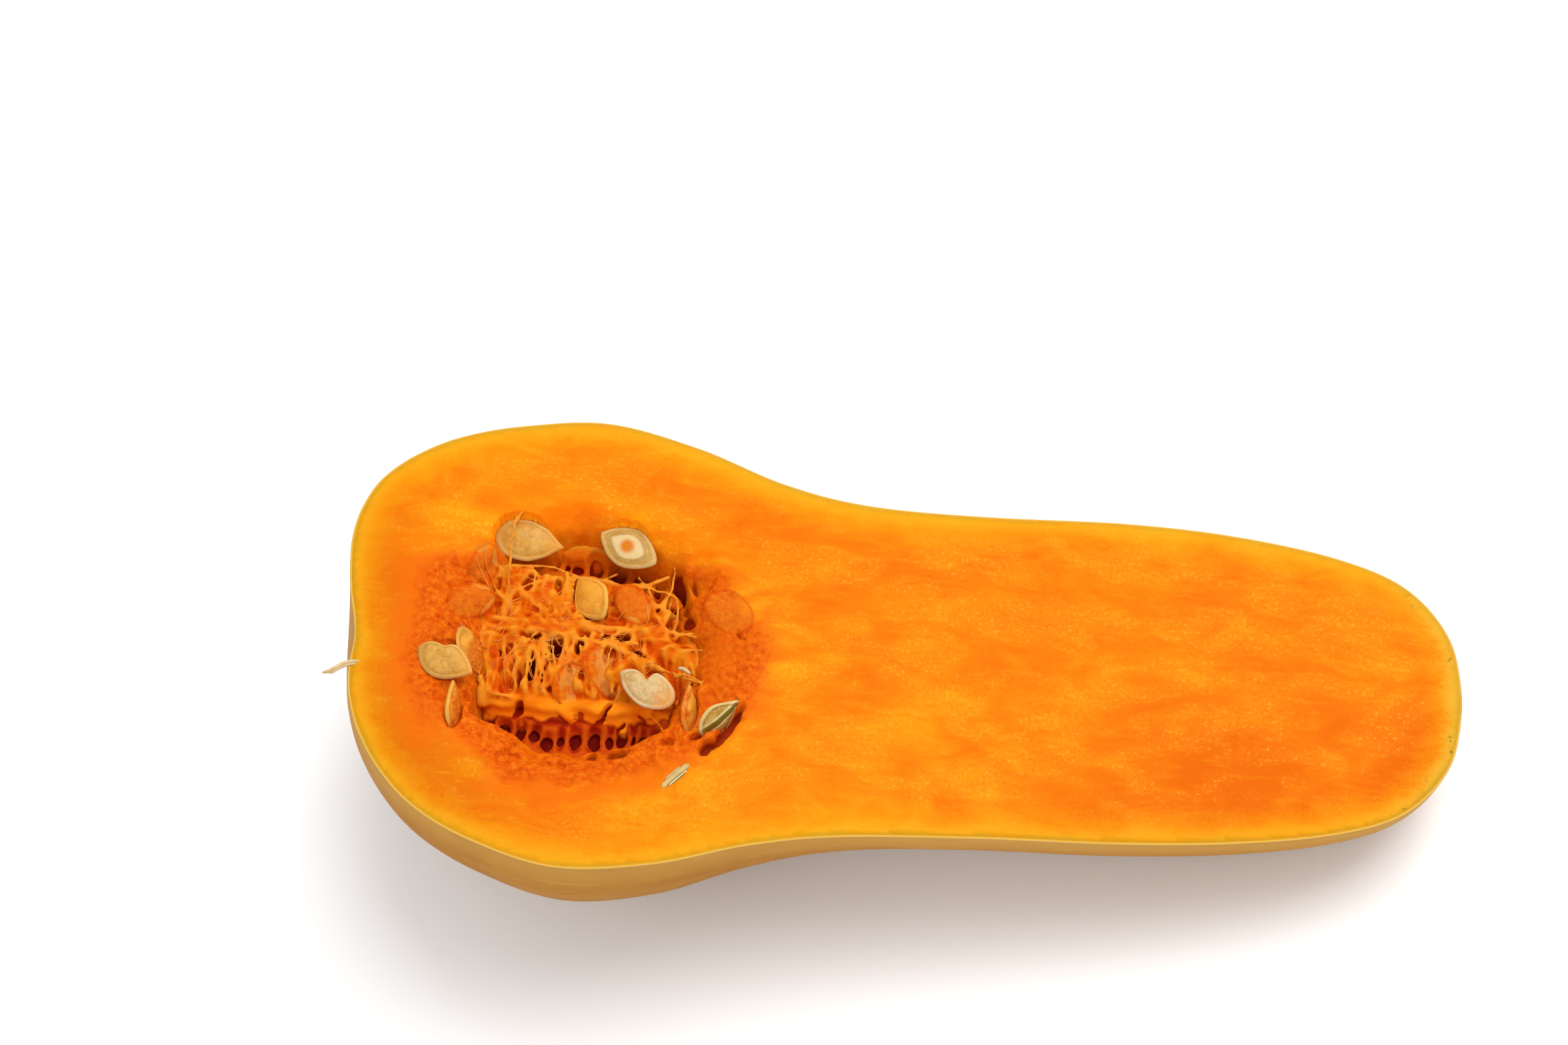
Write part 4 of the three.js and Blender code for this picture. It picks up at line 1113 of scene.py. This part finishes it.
def surface_of(field):
    """The surface where a field crosses zero: points and four-sided faces that look outwards."""
    inside = field > 0
    corners = list(np.ndindex(2, 2, 2))
    shape = np.array(field.shape) - 1
    full = sum(inside[tuple(slice(a, a + n) for a, n in zip(corner, shape))].astype(int) for corner in corners)
    cells = np.argwhere((full > 0) & (full < 8))
    number = np.full(shape, -1, np.int64)
    number[tuple(cells.T)] = np.arange(len(cells))
    value = {corner: field[tuple((cells + corner).T)] for corner in corners}
    total, crossings = np.zeros((len(cells), 3)), np.zeros(len(cells))
    for a in corners:
        for axis in (k for k in range(3) if not a[k]):
            va, vb = value[a], value[tuple(1 if k == axis else a[k] for k in range(3))]
            cut = (va > 0) != (vb > 0)
            spot = np.repeat(np.array(a, float)[None], len(cells), 0)
            spot[:, axis] += np.where(cut, va / np.where(cut, va - vb, 1), 0)
            total += np.where(cut[:, None], spot, 0)
            crossings += cut
    faces = []
    for axis in range(3):
        u, v = (axis + 1) % 3, (axis + 2) % 3
        a, b = (np.take(inside, range(s, s + shape[axis]), axis) for s in (0, 1))
        for turn, edges in ((1, np.argwhere(a & ~b)), (-1, np.argwhere(~a & b))):
            edges = edges[(edges[:, u] > 0) & (edges[:, v] > 0)]
            ring = []
            for du, dv in ((1, 1), (0, 1), (0, 0), (1, 0))[::turn]:
                cell = edges.copy()
                cell[:, u] -= du
                cell[:, v] -= dv
                ring.append(number[tuple(cell.T)])
            faces.append(np.stack(ring, 1))
    return PULP_LOW + PULP_STEP * (cells + total / crossings[:, None]), np.concatenate(faces)


def blurred(grid, reach):
    """The grid averaged over a box of reach cells each way, twice."""
    for axis in (0, 1, 2) * 2:
        wide = [(reach + 1, reach) if k == axis else (0, 0) for k in range(3)]
        total = np.cumsum(np.pad(grid, wide, "edge"), axis)
        n, width = grid.shape[axis], 2 * reach + 1
        grid = (np.take(total, range(width, width + n), axis) - np.take(total, range(n), axis)) / width
    return grid


def sampled(grid, points):
    """The block's grid at the points, blended between its cells."""
    spot = np.clip((points - PULP_LOW) / PULP_STEP, 0, np.array(grid.shape) - 1.001)
    base = spot.astype(int)
    part = spot - base
    return sum(np.prod(np.where(corner, part, 1 - part), 1) * grid[tuple((base + corner).T)]
               for corner in np.ndindex(2, 2, 2))


def keep_large_bodies(points, faces, least=600):
    """Drops the small loose scraps of a surface."""
    parent = np.arange(len(points))
    edges = np.concatenate([faces[:, [k, (k + 1) % 4]] for k in range(4)])
    while True:
        fresh = parent.copy()
        lowest = np.minimum(parent[edges[:, 0]], parent[edges[:, 1]])
        np.minimum.at(fresh, edges.ravel(), np.repeat(lowest, 2))
        fresh = fresh[fresh]
        if np.array_equal(fresh, parent):
            break
        parent = fresh
    label, size = np.unique(parent, return_counts=True)
    good = np.isin(parent, label[size >= least])
    return points[good], (np.cumsum(good) - 1)[faces[good[faces].all(1)]]


def make_pulp(material):
    """The pulp as a mesh, and the heights of its top over the block's plan."""
    block, whole, cells = pulp_tissue()
    points, faces = keep_large_bodies(*surface_of(whole))
    x, y, z = points.T
    full = (whole > 0).astype(np.float32)
    narrow, wide = (sampled(blurred(full, reach), points) for reach in (1, 3))
    shelf = smoothstep(-0.5, 0.1, sampled(cells, points)) * smoothstep(-9, -10.5, z)
    obj = make_mesh(
        "wet_seed_pulp", points, faces.tolist(), material,
        # crest: how open each point lies, from blurred copies of the pulp's block; it drives painted light and shade
        # in the pulp's colour.
        crest=np.clip(0.5 + 1.4 * (0.5 - narrow) + 2.0 * (0.5 - wide), 0, 1),
        pale=smoothstep(-0.6, 0.0, sampled(block.strand, points)),
        ghost=ghost_seeds(points),
        flank=smoothstep(-12, -13.8, y) * smoothstep(-7, -8.6, z),
        shelf=shelf,
        pit=smoothstep(1.8, 4.4, mat_top(x, y) - z),
        depth=np.maximum(-z, 0),
    )
    tops = PULP_LOW[2] + PULP_STEP * (whole.shape[2] - 1 - np.argmax(whole[:, :, ::-1] > 0, 2))
    return obj, np.where((whole > 0).any(2), tops, -99)


# ---------------------------------------------------------------- fibres
def draped(line, tops):
    """A line of (x, y) points laid over the pulp and the flesh, bridging what is narrow."""
    spot = np.round((line - PULP_LOW[:2]) / PULP_STEP).astype(int)
    i, j = np.clip(spot, 0, np.array(tops.shape) - 1).T
    height = np.maximum(tops[i, j], flesh_height(*line.T))
    wide = np.max([np.roll(height, s) for s in (-2, -1, 0, 1, 2)], 0)
    wide[:2], wide[-2:] = height[:2], height[-2:]
    for _ in range(3):
        wide[1:-1] = (wide[:-2] + 2 * wide[1:-1] + wide[2:]) / 4
    return np.column_stack([line, np.maximum(wide, height)])


def fibre_lines(tops):
    """Fibres over the middle strands and, in turn with them, over the near columns and the far mat."""
    rng = np.random.default_rng(5)
    lines = []
    for k in range(72):
        if k % 4 < 2:
            spot, heading = (rng.uniform(24, 76), rng.normal(0, 5)), rng.normal(0, 0.9)
            reach = rng.uniform(5, 16)
        else:
            spot, heading = (rng.uniform(34, 72), rng.uniform(-13, 15)), rng.uniform(0, np.pi)
            reach = rng.uniform(4, 12)
        turn = heading + np.cumsum(rng.normal(0, 0.13, max(6, int(reach / 0.5))))
        line = spot + np.cumsum(0.5 * np.stack([np.cos(turn), np.sin(turn)], 1), 0)
        lines.append((draped(line, tops), rng.uniform(0.06, 0.12)))
    return lines


def pale_scrap_lines():
    """The pale sliver of skin at the blossom end and a folded scrap by the strands: (line, radius) pairs."""
    sliver = [(6.6, -11.4, -0.3), (4.4, -12.0, 0.4), (2.2, -13.3, 0.7), (0.2, -14.8, 0.5), (-1.6, -15.3, 0.1)]
    spine = bent_line(sliver, 0.4)
    beside = spine + np.array([0.1, -0.5, -0.25])
    scrap = bent_line([(79.8, -4.8, -3.9), (81.2, -5.3, -3.1), (82.8, -6.4, -3.3)], 0.3)
    return [(spine, 0.5), (beside[2:-4], 0.42), (scrap, 0.5)]


def swept_tree(name, finish):
    """Geometry Nodes that turn a net of edges into round fibres as thick as their radius attribute."""
    tree = bpy.data.node_groups.new(name, "GeometryNodeTree")
    sockets = [tree.interface.new_socket(label, in_out=way, socket_type="NodeSocket" + kind) for label, way, kind in (
        ("Lines", "INPUT", "Geometry"), ("Sides", "INPUT", "Int"), ("Thickness", "INPUT", "Float"),
        ("Fibres", "OUTPUT", "Geometry"))]

    def node(kind, **inputs):
        made = tree.nodes.new(kind)
        for key, value in inputs.items():
            socket = made.inputs[key.replace("_", " ")]
            if isinstance(value, bpy.types.NodeSocket):
                tree.links.new(value, socket)
            else:
                socket.default_value = value
        return made.outputs

    start = node("NodeGroupInput")
    width = node("GeometryNodeInputNamedAttribute", Name="radius")
    scaled = tree.nodes.new("ShaderNodeMath")
    scaled.operation = "MULTIPLY"
    tree.links.new(width["Attribute"], scaled.inputs[0])
    tree.links.new(start["Thickness"], scaled.inputs[1])
    curve = node("GeometryNodeMeshToCurve", Mesh=start["Lines"])["Curve"]
    curve = node("GeometryNodeSetCurveRadius", Curve=curve, Radius=scaled.outputs[0])["Curve"]
    ring = node("GeometryNodeCurvePrimitiveCircle", Resolution=start["Sides"], Radius=1)["Curve"]
    swept = node("GeometryNodeCurveToMesh", Curve=curve, Profile_Curve=ring, Scale=scaled.outputs[0], Fill_Caps=True)
    real = node("GeometryNodeRealizeInstances", Geometry=swept["Mesh"])["Geometry"]
    node("NodeGroupOutput", Fibres=node("GeometryNodeSetMaterial", Geometry=real, Material=finish)["Geometry"])
    return tree, sockets[1].identifier, sockets[2].identifier


def make_fibres(name, lines, finish):
    """Thin fibres swept along the lines as one plain mesh."""
    edges, radii, first = [], [], 0
    for line, thickness in lines:
        edges += [(i, i + 1) for i in range(first, first + len(line) - 1)]
        radii.append(thickness * MM * (1 - 0.6 * np.linspace(-1, 1, len(line))**6))
        first += len(line)
    mesh = bpy.data.meshes.new(name + "_lines")
    mesh.from_pydata(to_row(np.concatenate([line for line, _ in lines])).tolist(), edges, [])
    layer = mesh.attributes.new("radius", "FLOAT", "POINT")
    layer.data.foreach_set("value", np.concatenate(radii).astype(np.float32))
    obj = new_object(name, mesh)
    tree, sides, thick = swept_tree(name + " sweep", finish)
    modifier = obj.modifiers.new("sweep", "NODES")
    modifier.node_group = tree
    modifier[sides], modifier[thick] = 6, 1.0
    bpy.context.view_layer.update()
    plain = bpy.data.meshes.new_from_object(obj.evaluated_get(bpy.context.evaluated_depsgraph_get()))
    obj.modifiers.clear()
    obj.data = plain
    plain.shade_smooth()
    return obj


# ---------------------------------------------------------------- camera, light and floor
CAMERA_PLACE = [139.897, -401.611, 757.693]  # in the cut frame
CAMERA_TURN = (REST_PITCH, "Y"), (math.radians(5.1), "Z"), (math.radians(30), "X")


def add_camera():
    camera = new_object("camera", bpy.data.cameras.new("camera"))
    camera.data.lens, camera.data.sensor_width = 85, 36
    tilt, lean, above = (Matrix.Rotation(angle, 4, axis) for angle, axis in CAMERA_TURN)
    camera.matrix_world = Matrix.Translation(to_row(CAMERA_PLACE)) @ tilt @ lean @ above
    bpy.context.scene.camera = camera


def add_light(name, place, power, size):
    """A square lamp that looks at the middle of the half."""
    light = bpy.data.lights.new(name, "AREA")
    light.energy, light.size = power, size
    lamp = new_object(name, light)
    lamp.location = place
    lamp.rotation_euler = (Vector((0, 0, 0.03)) - Vector(place)).to_track_quat("-Z", "Y").to_euler()


def add_setting():
    bpy.ops.mesh.primitive_plane_add(size=6)
    floor = bpy.context.object
    floor.name = "floor"
    floor.data.materials.append(floor_finish())
    world = bpy.data.worlds.new("soft white room")
    world.use_nodes = True
    world.node_tree.nodes["Background"].inputs["Color"].default_value = (1, 1, 1, 1)
    world.node_tree.nodes["Background"].inputs["Strength"].default_value = 0.76
    bpy.context.scene.world = world
    add_light("key", (0.42, 0.36, 1.12), 15, 1.0)
    add_light("fill", (-0.5, -0.9, 0.8), 3, 1.2)
    bpy.context.scene.view_settings.view_transform = "Standard"
    add_camera()


# ---------------------------------------------------------------- the pieces, put together
def stand_for(obj, slot, *nodes):
    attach(obj, "root")
    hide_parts(*nodes)


stand_for(make_rind(rind_finish()), "rind", "squash_half")
stand_for(make_flesh(flesh_finish()), "flesh", "squash_half")
pulp, pulp_tops = make_pulp(pulp_finish())
stand_for(pulp, "pulp", "seed_pulp")
coats = {kind: seed_finish(kind) for kind in dict.fromkeys(seed[3] for seed in SEEDS)}
for number, seed in enumerate(SEEDS, 1):
    points, faces, values = seed_points(number)
    body = make_mesh(f"squash_seed_{number:02d}", points, faces, coats[seed[3]], **values)
    stand_for(body, "seed", f"seed_{number:02d}")
fibres = make_fibres("pulp_fibres", fibre_lines(pulp_tops), fibre_finish())
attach(fibres, "root")
scraps = make_fibres("pale_scraps", pale_scrap_lines(), scrap_finish())
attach(scraps, "root")
add_setting()
